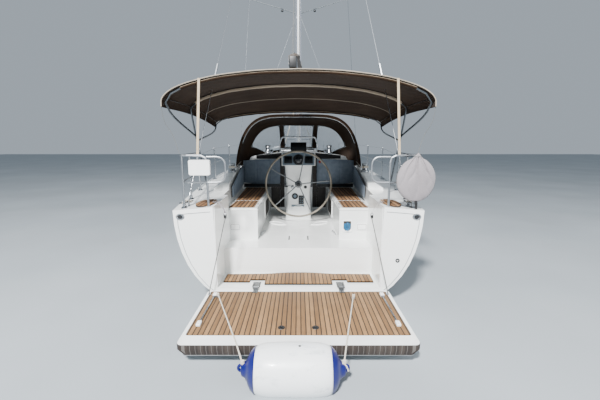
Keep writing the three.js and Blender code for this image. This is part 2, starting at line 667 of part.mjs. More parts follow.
function steeringWheel() {
  const rim = solid(new THREE.TorusGeometry(WHEEL.radius, WHEEL.rim, 6, 36).rotateX(Math.PI / 2)
    .translate(0, WHEEL.y, WHEEL.z));
  const hub = rod([0, WHEEL.y - 30, WHEEL.z], [0, WHEEL.y + 35, WHEEL.z], 62, 62, 20);
  const spokes = [6.5, 78.5, 150.5, 222.5, 294.5].map((angle) => {
    const turn = THREE.MathUtils.degToRad(angle);
    const tip = [WHEEL.radius * Math.cos(turn), WHEEL.y, WHEEL.z + WHEEL.radius * Math.sin(turn)];
    return rod([0, WHEEL.y, WHEEL.z], tip, 9);
  });
  return join([rim, hub, ...spokes]);
}

add('pedestal', pedestal(), WHITE);
add('instrument_pod', instrumentPod(), GREY);
add('steering_wheel', steeringWheel(), STEEL);

// Sprayhood: y, half width, height of the crown, all on the outside.
const HOOD = [
  [-2285, 1165, 2400],
  [-1850, 1140, 2340],
  [-1500, 1000, 2200],
  [-1250, 915, 2040],
  [-1010, 850, 1840],
].map(([y, half, crown]) => ({ y, half, crown }));
const HOOD_AFT = -2285;
const HOOD_FORE = -1010;
const HOOD_BOW_Y = -2261;
const HOOD_TUBE = 11;
const HOOD_FOOT = 1440;
const CLOTH = 12;
const HOOD_SLACK = 5.7;         // room between a bow and the flat facets of its cloth
const CANOPY_SLACK = 2.4;

// Half an arch from the foot over the shoulder to the middle, as fractions of its width and rise.
function halfArch(square, tall, steps) {
  return Array.from({ length: steps + 1 }, (_, i) => {
    const turn = (Math.PI / 2) * (i / steps);
    return [i === steps ? 0 : Math.cos(turn) ** square, Math.sin(turn) ** tall];
  });
}
const HOOD_ARCH = halfArch(0.42, 0.85, 9);
const HOOD_LEAN = 0.08;          // share of its width that the hood loses from foot to crown

function mirrored(right) {
  return [...right, ...right.slice(0, -1).reverse().map(([x, y, z]) => [-x, y, z])];
}

function hoodArch(y, inset) {
  const [half, crown] = ['half', 'crown'].map((key) => read(HOOD, key, y) - inset);
  return mirrored(HOOD_ARCH.map(([wide, high]) => {
    return [wide * half * (1 - HOOD_LEAN * high), y, HOOD_FOOT + high * (crown - HOOD_FOOT)];
  }));
}

function hoodLoft(inset, y0, y1) {
  const stations = [y0, HOOD_BOW_Y, -1850, -1500, -1250, y1];
  return solid(loft(stations.map((y) => {
    const arch = hoodArch(y, inset);
    return [[arch[0][0], y, 1300], ...arch, [-arch[0][0], y, 1300]];
  })));
}

function sprayhood() {
  const shell = cut(hoodLoft(0, HOOD_AFT, HOOD_FORE), [hoodLoft(CLOTH, HOOD_AFT - 5, HOOD_FORE - 18)]);
  const edges = SIDES.map(([side]) => raised(coamings[side], 0, 0, GAP));
  const below = block(-1400, 1400, -2300, -1000, 1200, HOOD_FOOT + 5);
  const garageWay = block(-396, 396, -1400, -900, 1500, 1800 + GAP);
  return cut(shell, [roofCrown, ...edges, below, garageWay]);
}

function hoodFrame() {
  const path = arc(hoodArch(HOOD_BOW_Y, CLOTH + HOOD_TUBE + HOOD_SLACK));
  return cut(sweep(path, HOOD_TUBE, 36), SIDES.map(([side]) => raised(coamings[side], 0, 0, GAP)));
}

// Bimini: y, half width, height of the crown, height of the corners.
const CANOPY = [
  [TRANSOM_Y, 1450, 2630, 2290],
  [-3950, 1455, 2645, 2300],
  [-3240, 1440, 2560, 2260],
  [-2690, 1415, 2420, 2190],
].map(([y, half, crown, corner]) => ({ y, half, crown, corner }));
const CANOPY_FORE = -2690;
const SKIRT = 40;                // hem hanging at each side of the canopy
const CANOPY_ARCH = halfArch(0.95, 1, 10);

function canopyArch(y, inset) {
  const [half, crown, corner] = ['half', 'crown', 'corner'].map((key) => read(CANOPY, key, y));
  const outer = CANOPY_ARCH.map(([wide, high]) => new THREE.Vector2(wide * half, corner + high * (crown - corner)));
  return mirrored(outer.map((spot, i) => {
    const last = i === outer.length - 1;
    const along = outer[last ? i : i + 1].clone().sub(outer[Math.max(i - 1, 0)]).normalize();
    return [last ? 0 : spot.x - inset * along.y, y, spot.y + inset * along.x];
  }));
}

function backstayLine(s) {
  const { footX, footY, footZ, splitZ } = BACKSTAY;
  const rise = (splitZ - footZ) / (MAST.top - footZ);
  return { foot: [s * footX, footY, footZ], split: [0, footY + (MAST.y - 120 - footY) * rise, splitZ] };
}

function canopy() {
  const stations = [TRANSOM_Y, BOWS.aft.y, -4380, BOWS.middle.y, -3600, -3240, BOWS.front.y, CANOPY_FORE];
  const rings = stations.map((y) => {
    const loop = (inset) => {
      const arch = canopyArch(y, inset);
      const [x, , z] = arch[0];
      return [[x, y, z - SKIRT], ...arch, [-x, y, z - SKIRT]];
    };
    return [...loop(0), ...loop(CLOTH).reverse()];
  });
  const slots = SIDES.map(([, s]) => {
    const { foot, split } = backstayLine(s);
    return rod(foot, split, 34, 34, 8);
  });
  return cut(solid(loft(rings)), slots);
}

// One bow of the bimini: an arch under the cloth whose legs come down to the given foot.
const BOW_TUBE = 12;
function bowPath({ y, footX, footY, footZ }) {
  const arch = canopyArch(y, CLOTH + BOW_TUBE + CANOPY_SLACK).slice(1, -1);
  const [x, , z] = arch[0];
  const leg = [[footX, footY, footZ], [x, THREE.MathUtils.lerp(footY, y, 0.9), z - 110]];
  return arc([...leg, ...arch, ...leg.reverse().map(([px, py, pz]) => [-px, py, pz])]);
}
// The place on the starboard leg of a bow that lies at the given height.
function onLeg(row, height) {
  const spot = bowPath(row).getSpacedPoints(600).find((p) => p.z >= height);
  return { footX: spot.x, footY: spot.y, footZ: spot.z };
}

add('sprayhood_frame', hoodFrame(), STEEL);
add('sprayhood', sprayhood(), CANVAS);
// Bimini bows: the middle one stands on the deck, the other two are pinned to its legs.
const MIDDLE_BOW = { y: -3950, footX: 1300, footY: -3700, footZ: 1150 };
const BOWS = {
  middle: MIDDLE_BOW,
  aft: { y: -4815, ...onLeg(MIDDLE_BOW, 1960) },
  front: { y: -2725, ...onLeg(MIDDLE_BOW, 1900) },
};
const middleLegs = sweep(bowPath(MIDDLE_BOW), BOW_TUBE + GAP, 40);
for (const [name, row] of Object.entries(BOWS)) {
  const bow = sweep(bowPath(row), BOW_TUBE, 40);
  add(`bimini_bow_${name}`, bow.subtract(name === 'middle' ? hullRaised : middleLegs), STEEL);
}
add('bimini', canopy(), CANVAS);

// Rails: pushpits, pulpit and lifelines.
const RAIL_R = 12.5;
function deckFoot(x, y) {
  return [x, y, deckZ(x, y) - 20];
}

function post([x, y], z) {
  const [, , low] = deckFoot(x, y);
  return rod([x, y, low], [x, y, z], RAIL_R);
}

function pushpit(s) {
  const high = 1735;
  const mid = 1440;
  const top = pipe([[s * 1010, -4790, mid - 160], [s * 1010, -4790, high], [s * 1310, -4770, high],
    [s * 1490, -3560, high], [s * 1500, -3420, mid - 160]], RAIL_R, 75, 44);
  const posts = [post([s * 1010, -4790], mid), post([s * 1500, -3420], mid), post([s * 1295, -4754], high),
    post([s * 1398, -4180], high)];
  const middle = pipe([[s * 1010, -4790, mid], [s * 1310, -4770, mid], [s * 1500, -3420, mid]], RAIL_R - 2, 110, 22);
  return join([top, ...posts, middle]).subtract(hullRaised);
}

function pulpit() {
  const high = 2060;
  const low = 1745;
  const rails = [[high, 40], [low, 0]].map(([z, out]) => pipe([[-600, 3980, z], [-420 - out, 4400, z], [-200, 4960 + out, z],
    [200, 4960 + out, z], [420 + out, 4400, z], [600, 3980, z]], RAIL_R, 120, 30));
  const posts = [[600, 3980, 600, 3980], [458, 4399, 384, 4399], [182, 4972, 168, 4700]].flatMap(([x, y, fx, fy]) => [-1, 1]
    .map((s) => rod(deckFoot(s * fx, fy), [s * x, y, high], RAIL_R)));
  return join([...rails, ...posts]).subtract(hullRaised);
}

// Stanchions and the two wires of one side, from the pushpit's last post to the pulpit's first.
function lifelines(s) {
  const stands = [[1625, -2000], [1650, -500], [1580, 950], [1310, 2400], [900, 3450]];
  const posts = stands.map(([x, y]) => post([s * x, y], deckZ(x, y) + 600));
  const wires = [[1700, 585, 2045], [1440, 320, 1745]].flatMap(([aftZ, lift, foreZ]) => {
    const line = [[1500, -3420, aftZ], ...stands.map(([x, y]) => [x, y, deckZ(x, y) + lift]), [600, 3980, foreZ]];
    return line.slice(1).map(([x, y, z], i) => {
      const [px, py, pz] = line[i];
      return rod([s * px, py, pz], [s * x, y, z], 4, 4, 5);
    });
  });
  return join([...posts, ...wires]).subtract(hullRaised);
}

const pushpits = {};
for (const [side, s] of SIDES) pushpits[side] = add(`pushpit_${side}`, pushpit(s), STEEL);
const bowRail = add('pulpit', pulpit(), STEEL);
for (const [side, s] of SIDES) {
  add(`lifelines_${side}`, cut(lifelines(s), [grown(pushpits[side]), grown(bowRail)]), STEEL);
}

// Pieces hung on the pushpits: outboard motor board to port, horseshoe buoy to starboard.
function outboardBoard() {
  return plateXZ(roundedRect(-1195, -965, 1525, 1690, 18, 3), -4846, -4790 - RAIL_R - GAP);
}
// Buoy in its closed cover, hung against the rails: widest low down and drawn to a point above.
const BUOY = { x: 1285, y: -4836, z: 1500, half: 210, rise: 268, deep: 58 };
function lifebuoy() {
  const levels = 10;
  const sides = 20;
  const rings = Array.from({ length: levels + 1 }, (_, k) => {
    const turn = -Math.PI / 2 + (Math.PI * (k + 0.25)) / (levels + 0.5);
    const wide = BUOY.half * Math.cos(turn) ** (turn > 0 ? 0.95 : 0.85);
    const deep = BUOY.deep * Math.cos(turn) ** 0.6;
    return Array.from({ length: sides }, (__, i) => {
      const around = (2 * Math.PI * i) / sides;
      return [BUOY.x + wide * Math.cos(around), BUOY.y + deep * Math.sin(around), BUOY.z + BUOY.rise * Math.sin(turn)];
    });
  });
  return cut(solid(loft(rings)), [grown(pushpits.starboard)]);
}
add('outboard_board', outboardBoard(), WHITE);
add('lifebuoy', lifebuoy(), GREY);

// Mast with its spreaders.
function mastBody() {
  const section = (z, k) => Array.from({ length: 16 }, (_, i) => {
    const turn = (Math.PI / 8) * i;
    return [MAST.halfX * k * Math.cos(turn), MAST.y + MAST.halfY * k * Math.sin(turn), z];
  });
  const tube = solid(loft([section(MAST.foot, 1), section(MAST.top - 1800, 1), section(MAST.top, 0.7)]));
  const foot = block(-110, 110, MAST.y - 140, MAST.y + 140, 1600, MAST.foot + 12);
  const lugs = [GOOSENECK.z, 1905].map((z) => block(-18, 18, GOOSENECK.y + 30 + GAP, MAST.y - 60, z - 26, z + 26));
  const head = block(-26, 26, MAST.y - 190, MAST.y + 150, MAST.top - 60, MAST.top + 30);
  return join([tube, foot, ...lugs, head]).subtract(roofCrown);
}

// Spreader: half span, height of the root, of the tip, and how far its tip lies aft.
const SPREADERS = { lower: [1215, 5262, 5440, 450], upper: [900, 9560, 9690, 340] };
function spreader(s, [span, root, tip, aft]) {
  const rows = [[0.045, 62, 20], [0.5, 55, 16], [1, 34, 12]];
  const rings = rows.map(([part, chord, thick]) => [[-0.5, 0], [-0.25, 0.5], [0.25, 0.5], [0.5, 0], [0.25, -0.5],
    [-0.25, -0.5]].map(([u, v]) => [s * span * part, MAST.y - aft * part + u * chord,
    THREE.MathUtils.lerp(root, tip, part) + v * thick]));
  return solid(loft(rings));
}
const mastTube = mastBody();
function mastWhole() {
  const arms = Object.values(SPREADERS).flatMap((row) => SIDES.map(([, s]) => spreader(s, row)));
  return join([mastTube, ...arms]);
}
add('mast', mastWhole(), ALUMINIUM);

// Boom, sail cover and vang, drawn along -Y and turned about the gooseneck.
function turned(shape) {
  const geometry = geometryOf(shape).translate(0, -GOOSENECK.y, 0).rotateZ(-BOOM.swing);
  return geometry.translate(0, GOOSENECK.y, 0);
}
function boomBody() {
  const { length, rise, height, width } = BOOM;
  const front = GOOSENECK.y - 55;
  const end = GOOSENECK.y - length;
  const ring = (y, k) => roundedRect(-width / 2 * k, width / 2 * k, -height / 2 * k, height / 2 * k, 30 * k, 3)
    .map(([x, z]) => [x, y, GOOSENECK.z + (GOOSENECK.y - y) * rise + z]);
  const tube = solid(loft([ring(front, 1), ring(end, 1), ring(end - 12, 0.9)]));
  const toggle = rod([0, GOOSENECK.y, GOOSENECK.z - 40], [0, GOOSENECK.y, GOOSENECK.z + 40], 30, 30, 14);
  const neck = block(-18, 18, front - 30, GOOSENECK.y, GOOSENECK.z - 30, GOOSENECK.z + 30);
  return join([tube, toggle, neck]);
}
function vang() {
  const eye = rod([0, GOOSENECK.y, 1870], [0, GOOSENECK.y, 1940], 30, 30, 14);
  const far = [0, -420, GOOSENECK.z + (GOOSENECK.y + 420) * BOOM.rise - BOOM.height / 2];
  const middle = [0, 150, THREE.MathUtils.mapLinear(150, GOOSENECK.y, far[1], 1905, far[2])];
  const tube = join([rod([0, GOOSENECK.y - 10, 1905], middle, 30, 30, 12), rod(middle, far, 22, 22, 12)]);
  return join([eye, tube]).subtract(raised(boomBody(), 0, 0, -GAP));
}
function sailCover() {
  // y from the gooseneck, half width, height above the boom
  const rows = [[-150, 95, 430], [-500, 135, 440], [-1600, 150, 360], [-2900, 130, 270], [-4000, 85, 150], [-4180, 50, 80]];
  const rings = rows.map(([along, half, high]) => {
    const base = GOOSENECK.z - along * BOOM.rise + BOOM.height / 2 + GAP;
    const right = [[0.55, 0], [1, 0.22], [0.95, 0.5], [0.55, 0.82], [0.1, 1]];
    return [...right, ...right.map(([u, v]) => [-u, v]).reverse()]
      .map(([u, v]) => [u * half, GOOSENECK.y + along, base + v * high]);
  });
  return solid(loft(rings));
}
add('boom', turned(boomBody()), ALUMINIUM);
add('vang', turned(vang()), ALUMINIUM);
add('sail_cover', turned(sailCover()), COVER);

// Standing rigging: shrouds, split backstay, forestay with the furled sail and its drum.
const CHAINPLATE = { x: 1575, y: 430 };
function shrouds(s) {
  const { x, y } = CHAINPLATE;
  const foot = [s * x, y, deckZ(x, y) - 10];
  const tips = Object.values(SPREADERS).map(([span, , tip, aft]) => [s * (span + 12), MAST.y - aft, tip]);
  const head = [s * 30, MAST.y - 10, MAST.top - 30];
  const line = [foot, ...tips, head];
  const cap = line.slice(1).map((p, i) => rod(line[i], p, 5, 5, 5));
  const root = [s * 52, MAST.y - 30, SPREADERS.lower[1] - 60];
  const lower = rod([s * (x - 30), y, foot[2]], root, 5, 5, 5);
  const plate = block(s * x - 45, s * x + 45, y - 9, y + 9, foot[2] - 20, foot[2] + 45);
  return cut(join([...cap, lower, plate]), [hullRaised, grown(mastWhole())]);
}
function backstay() {
  const legs = SIDES.map(([, s]) => {
    const { foot, split } = backstayLine(s);
    const from = new THREE.Vector3(...foot);
    const low = from.clone().lerp(new THREE.Vector3(...split), 0.16).toArray();
    const high = from.clone().lerp(new THREE.Vector3(...split), 0.19).toArray();
    const under = from.clone().lerp(new THREE.Vector3(...split), -0.006).toArray();
    return join([rod(under, split, 4, 4, 5), rod(low, high, 15, 15, 8), rod(under, foot, 11, 9, 8)]);
  });
  const { split } = backstayLine(1);
  const head = [0, MAST.y - 160, MAST.top - 20];
  const knot = rod([0, split[1] - 12, split[2] - 50], [0, split[1] + 12, split[2] + 50], 22, 14, 8);
  return cut(join([...legs, knot, rod(split, head, 4, 4, 5)]), [hullRaised, grown(mastWhole())]);
}
const FORESTAY = { foot: [0, 4790, 1640], head: [0, MAST.y + 110, MAST.top - 500] };
function stayPoint(part) {
  return new THREE.Vector3(...FORESTAY.foot).lerp(new THREE.Vector3(...FORESTAY.head), part).toArray();
}
function furledSail() {
  // How far up the stay, and radius of the roll there
  const rows = [[0.027, 40], [0.036, 44], [0.06, 62], [0.35, 60], [0.75, 42], [0.93, 24], [0.935, 14], [1, 14]];
  const rings = rows.map(([part, r]) => {
    const [, y, z] = stayPoint(part);
    return Array.from({ length: 12 }, (_, i) => {
      const turn = (Math.PI / 6) * i;
      return [r * Math.cos(turn), y + r * Math.sin(turn), z];
    });
  });
  return cut(solid(loft(rings)), [grown(mastWhole()), raised(furlerDrum(), 0, 0, GAP)]);
}
function furlerDrum() {
  const drum = rod(stayPoint(0), stayPoint(0.032), 78, 78, 16);
  const waist = rod(stayPoint(0.008), stayPoint(0.024), 120, 120, 16);
  const groove = waist.subtract(rod(stayPoint(-0.1), stayPoint(0.1), 50, 50, 16));
  const link = rod([0, 4810, 1430], stayPoint(0.004), 14, 14, 8);
  return join([drum.subtract(groove), link]).subtract(hullRaised);
}
for (const [side, s] of SIDES) add(`shrouds_${side}`, shrouds(s), STEEL);
add('backstay', backstay(), STEEL);
add('furled_genoa', furledSail(), SAILCLOTH);
add('furler_drum', furlerDrum(), BLACK);

// Bow roller with the stowed anchor, both a little to port of the forestay.
const ROLLER_X = -84;
function bowRoller() {
  const side = [[4560, 1425], [4560, 1500], [4960, 1540], [5060, 1500], [5040, 1455], [4905, 1455], [4885, 1425]];
  const cheeks = [-1, 1].map((s) => plateYZ(side, ROLLER_X + s * 42, ROLLER_X + s * 50));
  const base = block(ROLLER_X - 48, ROLLER_X + 48, 4560, 4890, 1425, 1512);
  const wheel = rod([ROLLER_X - 46, 5010, 1490], [ROLLER_X + 46, 5010, 1490], 22, 22, 10);
  return join([...cheeks, base, wheel]).subtract(grown(wholeHull));
}
function anchor() {
  const shank = plateYZ([[4700, 1512 + GAP], [4700, 1545], [5100, 1558], [5190, 1500], [5170, 1480], [5080, 1512 + GAP]],
    ROLLER_X - 12, ROLLER_X + 12);
  const rows = [[10, 5180, 1510, 5165, 1490], [150, 5110, 1380, 5090, 1372], [15, 5000, 1190, 4990, 1196]];
  const fluke = solid(loft(rows.map(([half, y, z, backY, backZ]) => [[ROLLER_X - half, y, z], [ROLLER_X + half, y, z],
    [ROLLER_X + half, backY, backZ], [ROLLER_X - half, backY, backZ]])));
  return join([shank, fluke]);
}
add('bow_roller', bowRoller(), STEEL);
add('anchor', anchor(), GALVANISED);

// Fender across the platform's aft edge with the two short ropes that hold it.
const FENDER = { x: -40, y: -6106.5, z: 120, radius: 200, half: 330 };
function fender() {
  const { x, y, z, radius, half } = FENDER;
  const profile = [[0, -half - 110], [45, -half - 100], [70, -half - 70], [radius * 0.72, -half - 10], [radius, -half + 90],
    [radius, half - 90], [radius * 0.72, half + 10], [70, half + 70], [45, half + 100], [0, half + 110]];
  const body = new THREE.LatheGeometry(profile.map(([r, h]) => new THREE.Vector2(r, h)), 20);
  return solid(body.rotateZ(-Math.PI / 2).translate(x, y, z));
}
add('fender', fender(), SAILCLOTH);

export default yacht;
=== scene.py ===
"""Cruising sloop seen from astern: covers, teak, fittings and finishes put on the solids of the frame."""
from math import atan2, ceil, copysign, cos, dist, exp, hypot, pi, radians, sin

import bmesh
import bpy
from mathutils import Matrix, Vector


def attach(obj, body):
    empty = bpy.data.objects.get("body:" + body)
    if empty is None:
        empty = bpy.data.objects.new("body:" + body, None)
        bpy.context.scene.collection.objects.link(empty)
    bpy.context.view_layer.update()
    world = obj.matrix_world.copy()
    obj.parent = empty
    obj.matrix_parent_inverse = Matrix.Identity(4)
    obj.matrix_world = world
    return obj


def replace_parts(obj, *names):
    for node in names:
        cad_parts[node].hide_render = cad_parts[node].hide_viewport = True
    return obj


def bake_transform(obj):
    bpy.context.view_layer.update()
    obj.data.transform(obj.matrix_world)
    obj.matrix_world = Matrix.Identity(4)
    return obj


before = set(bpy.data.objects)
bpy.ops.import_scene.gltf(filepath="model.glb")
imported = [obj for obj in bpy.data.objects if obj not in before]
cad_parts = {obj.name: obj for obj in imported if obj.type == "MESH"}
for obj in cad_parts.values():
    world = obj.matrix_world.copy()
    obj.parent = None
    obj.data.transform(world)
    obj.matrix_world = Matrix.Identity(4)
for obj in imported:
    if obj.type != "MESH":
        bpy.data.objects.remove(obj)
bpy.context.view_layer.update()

SIDES = (("port", -1), ("starboard", 1))
TAU = 2 * pi


# Camera: at standing eye height astern, tilted a little down.
def place_camera():
    lens = bpy.data.cameras.new("stern_view")
    lens.sensor_width = 36
    lens.lens = 19.8
    lens.shift_x = 0.0025
    lens.clip_end = 200
    camera = bpy.data.objects.new("stern_view", lens)
    bpy.context.scene.collection.objects.link(camera)
    camera.location = (0, -8.435, 1.85)
    camera.rotation_euler = (radians(90 - 9.46), 0, 0)
    bpy.context.scene.camera = camera


place_camera()


# Small helpers
def free():
    """Leaves edit mode with nothing selected."""
    if bpy.context.mode != "OBJECT":
        bpy.ops.object.mode_set(mode="OBJECT")
    bpy.ops.object.select_all(action="DESELECT")


def begin(kind, name, **size):
    """Adds a primitive at its size and place, with its origin left at the frame's origin."""
    free()
    getattr(bpy.ops.mesh, f"primitive_{kind}_add")(**size)
    piece = bpy.context.object
    piece.name = name
    bpy.ops.object.transform_apply(location=True, rotation=True, scale=True)
    return piece


def choose(piece, test, domain="faces"):
    """Selects, in edit mode, the faces, edges or vertices whose middle and normal pass the test."""
    bpy.context.view_layer.objects.active = piece
    if bpy.context.mode != "EDIT_MESH":
        bpy.ops.object.mode_set(mode="EDIT")
    kinds = {"faces": "FACE", "edges": "EDGE", "verts": "VERT"}
    bpy.ops.mesh.select_mode(type=kinds[domain])
    bpy.ops.mesh.select_all(action="DESELECT")
    mesh = bmesh.from_edit_mesh(piece.data)
    for item in list(getattr(mesh, domain)):
        corners = [item] if domain == "verts" else item.verts
        middle = sum((v.co for v in corners), Vector()) / len(corners)
        normal = item.normal if domain != "edges" else Vector()
        if test(middle, normal):
            item.select_set(True)
    mesh.select_flush_mode()
    bmesh.update_edit_mesh(piece.data)


def everything(piece):
    choose(piece, lambda middle, normal: True)


def tidy(piece, merge=1e-5):
    """Closes seams and turns all faces outward."""
    everything(piece)
    bpy.ops.mesh.remove_doubles(threshold=merge)
    bpy.ops.mesh.select_all(action="SELECT")
    bpy.ops.mesh.normals_make_consistent(inside=False)
    free()


def modify(piece, kind, **settings):
    free()
    bpy.context.view_layer.objects.active = piece
    piece.select_set(True)
    added = piece.modifiers.new(kind.title(), kind)
    for key, value in settings.items():
        setattr(added, key, value)
    bpy.ops.object.modifier_apply(modifier=added.name)


def thicken(piece, thickness, offset=0):
    """Gives a sheet its wall, half on each side unless offset says otherwise."""
    modify(piece, "SOLIDIFY", thickness=thickness, offset=offset)


def put(piece, finish, smooth=35, body="yacht", slot=None):
    """Gives a piece its finish and its smooth edges, and lets it ride on a body, if one is named."""
    free()
    bpy.context.view_layer.objects.active = piece
    piece.select_set(True)
    bpy.ops.object.transform_apply(location=True, rotation=True, scale=True)
    bpy.ops.object.shade_smooth_by_angle(angle=radians(smooth))
    piece.data.materials.clear()
    piece.data.materials.append(finish)
    slot or SLOTS[finish]
    free()
    if body:
        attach(piece, body)
    return piece


def moved(piece, move):
    """Moves a piece's mesh and leaves its origin where it is."""
    everything(piece)
    bpy.ops.transform.translate(value=move)
    free()
    return piece


def swung(piece, angle, pivot=(0, 0, 0), axis="X"):
    """Turns a piece's mesh about an axis through a point: with no window, the operator turns the other way."""
    everything(piece)
    bpy.ops.transform.rotate(value=-angle, orient_axis=axis, center_override=pivot)
    free()
    return piece


def sunk(piece, way, rim, depth):
    """Insets the faces that look a given way, and raises what is inside the rim, or sinks it with a depth below 0."""
    choose(piece, lambda middle, normal: normal.dot(Vector(way)) > 0.95)
    bpy.ops.mesh.inset(thickness=rim, depth=depth)
    free()


def joined(name, parts):
    """Several meshes made one piece."""
    free()
    for part in parts:
        part.select_set(True)
    bpy.context.view_layer.objects.active = parts[0]
    bpy.ops.object.join()
    parts[0].name = name
    return parts[0]


def slab(name, low, high, edge=0.004, steps=2):
    """A block between two corners with all its edges rounded."""
    size = [b - a for a, b in zip(low, high)]
    piece = begin("cube", name, size=1)
    everything(piece)
    bpy.ops.transform.resize(value=size)
    bpy.ops.transform.translate(value=[(a + b) / 2 for a, b in zip(low, high)])
    bpy.ops.mesh.select_all(action="SELECT")
    bpy.ops.mesh.bevel(offset=min(edge, min(size) * 0.45), segments=steps, affect="EDGES")
    free()
    return piece


def turned(name, profile, at=(0, 0, 0), axis="z", steps=24):
    """A profile of radius and height pairs spun about an axis, such as z or -y, through a point."""
    along = Vector([float(axis[-1] == letter) for letter in "xyz"]) * (-1 if axis[0] == "-" else 1)
    out = Vector((0, 1, 0)) if axis[-1] == "x" else Vector((1, 0, 0))
    spots = [Vector(at) + out * r + along * h for r, h in profile]
    piece = begin("plane", name, size=0.01, location=spots[0])
    choose(piece, lambda middle, normal: True, "verts")
    bpy.ops.mesh.merge(type="CENTER")
    for here, there in zip(spots, spots[1:]):
        bpy.ops.mesh.extrude_vertices_move(TRANSFORM_OT_translate={"value": there - here})
    bpy.ops.mesh.select_all(action="SELECT")
    bpy.ops.mesh.spin(steps=steps, angle=TAU, center=at, axis=along)
    tidy(piece)
    return piece


def smoothed(points, steps=8):
    """A smooth curve through points."""
    spots = [Vector(p) for p in points]
    spots = [spots[0] * 2 - spots[1], *spots, spots[-1] * 2 - spots[-2]]
    curve = []
    for i in range(1, len(spots) - 2):
        a, b, c, d = spots[i - 1:i + 3]
        for k in range(steps):
            t = k / steps
            curve.append(0.5 * (2 * b + (c - a) * t + (2 * a - 5 * b + 4 * c - d) * t * t
                                + (3 * b - a - 3 * c + d) * t ** 3))
    return curve + [spots[-2]]


def bent(points, reach=0.08, steps=5):
    """Straight runs with a rounded bend of the given reach at each corner."""
    spots = [Vector(p) for p in points]
    path = [spots[0]]
    for before, corner, after in zip(spots, spots[1:], spots[2:]):
        start = corner + (before - corner).normalized() * reach
        end = corner + (after - corner).normalized() * reach
        for k in range(steps + 1):
            t = k / steps
            path.append(start.lerp(corner, t).lerp(corner.lerp(end, t), t))
    return path + [spots[-1]]


def tube(name, points, radius, sides=10, closed=False):
    """A round tube or line that follows points."""
    free()
    bpy.ops.curve.primitive_bezier_curve_add()
    piece = bpy.context.object
    piece.name = name
    line = piece.data
    line.splines.clear()
    spline = line.splines.new("POLY")
    spline.points.add(len(points) - 1)
    for spot, place in zip(spline.points, points):
        spot.co = (*place, 1)
    spline.use_cyclic_u = closed
    line.dimensions = "3D"
    line.bevel_depth = radius
    line.bevel_resolution = max(0, sides // 2 - 2)
    line.use_fill_caps = not closed
    bpy.ops.object.convert(target="MESH")
    tidy(piece, 1e-6)
    return piece


def piped(name, points, radius, sides, finish, smooth=60, closed=False, body="yacht", slot=None):
    """A finished tube or line."""
    return put(tube(name, points, radius, sides, closed), finish, smooth, body, slot)


def draped(name, columns, rows, place, wall=0, offset=0):
    """A sheet of quads, with a wall if one is named: place gives the spot for each share across and along it."""
    piece = begin("grid", name, x_subdivisions=columns, y_subdivisions=rows, size=1)
    for vertex in piece.data.vertices:
        vertex.co = place(vertex.co.x + 0.5, vertex.co.y + 0.5)
    piece.data.update()
    if wall:
        thicken(piece, wall, offset)
    return piece


def outline_face(name, spots):
    """A flat face with the given corners."""
    piece = begin("circle", name, vertices=len(spots), fill_type="NGON", radius=1)
    for vertex, spot in zip(piece.data.vertices, spots):
        vertex.co = spot
    piece.data.update()
    return piece


def drawn_out(piece, rise, merge=1e-5):
    """Makes a closed plate of a flat piece."""
    everything(piece)
    bpy.ops.mesh.extrude_region_move(TRANSFORM_OT_translate={"value": rise})
    tidy(piece, merge)
    return piece


def angles(count):
    """Even steps round a turn."""
    return [TAU * k / count for k in range(count)]


def sided(s, spots):
    """Places of the starboard side, or with s = -1 their mirror on the port side."""
    return [(s * x, y, z) for x, y, z in spots]


def ring_profile(radius, wire, steps):
    """The profile of a ring of wire."""
    return [(radius + wire * cos(a), wire * sin(a)) for a in [TAU * k / steps for k in range(steps + 1)]]


def mix(a, b, t):
    return a + (b - a) * t


def read(table, column, y):
    """Smooth value of one column of a table of rows that start with y."""
    last = len(table) - 1
    i = next((k for k, row in enumerate(table) if row[0] >= y), last)
    i = max(i, 1)
    p, q = table[i - 1], table[i]

    def slope(a, b):
        return (b[column] - a[column]) / (b[0] - a[0])
    span = q[0] - p[0]
    into = slope(table[i - 2], q) if i > 1 else slope(p, q)
    out = slope(p, table[i + 1]) if i < last else slope(p, q)
    t = min(max((y - p[0]) / span, 0), 1)
    rise = q[column] - p[column]
    cubic = (into + out) * span - 2 * rise
    square = 3 * rise - (2 * into + out) * span
    return p[column] + t * (into * span + t * (square + t * cubic))


# Finishes
def colour(code):
    """A display hex colour as the linear value that the shaders take."""
    parts = [int(code[i:i + 2], 16) / 255 for i in (1, 3, 5)]
    return (*[p / 12.92 if p <= 0.04045 else ((p + 0.055) / 1.055) ** 2.4 for p in parts], 1)


def add(tree, kind, settings=None, links=None, ramp=None):
    """Adds one shader node with its settings, its links and, on a colour ramp, its stops."""
    node = tree.nodes.new("ShaderNode" + kind)
    for key, value in (settings or {}).items():
        if isinstance(key, str) and hasattr(node, key):
            setattr(node, key, value)
        else:
            node.inputs[key].default_value = value
    for key, (source, output) in (links or {}).items():
        tree.links.new(source.outputs[output], node.inputs[key])
    for i, (place, code) in enumerate(ramp or []):
        stops = node.color_ramp.elements
        stop = stops[i] if i < 2 else stops.new(place)
        stop.position = place
        stop.color = colour(code)
    return node


def grain(tree, place, scale, detail, rough):
    """A pattern of noise, drawn out along one or two directions where scale is three numbers."""
    source = (place, "Object")
    if isinstance(scale, tuple):
        source, scale = (add(tree, "Mapping", {"Scale": scale}, {"Vector": source}), "Vector"), 1
    return add(tree, "TexNoise", {"Scale": scale, "Detail": detail, "Roughness": rough}, {"Vector": source})


def drive(tree, shader, socket, source, output, values):
    """Lets a pattern give the colour by stops, the roughness between two values, or a relief's strength and depth."""
    kind, entry, result, *settings = {
        "Base Color": ("ValToRGB", "Fac", "Color"), "Roughness": ("MapRange", "Value", "Result", "To Min", "To Max"),
        "Normal": ("Bump", "Height", "Normal", "Strength", "Distance")}[socket]
    step = add(tree, kind, dict(zip(settings, values)), {entry: (source, output)}, None if settings else values)
    tree.links.new(step.outputs[result], shader.inputs[socket])


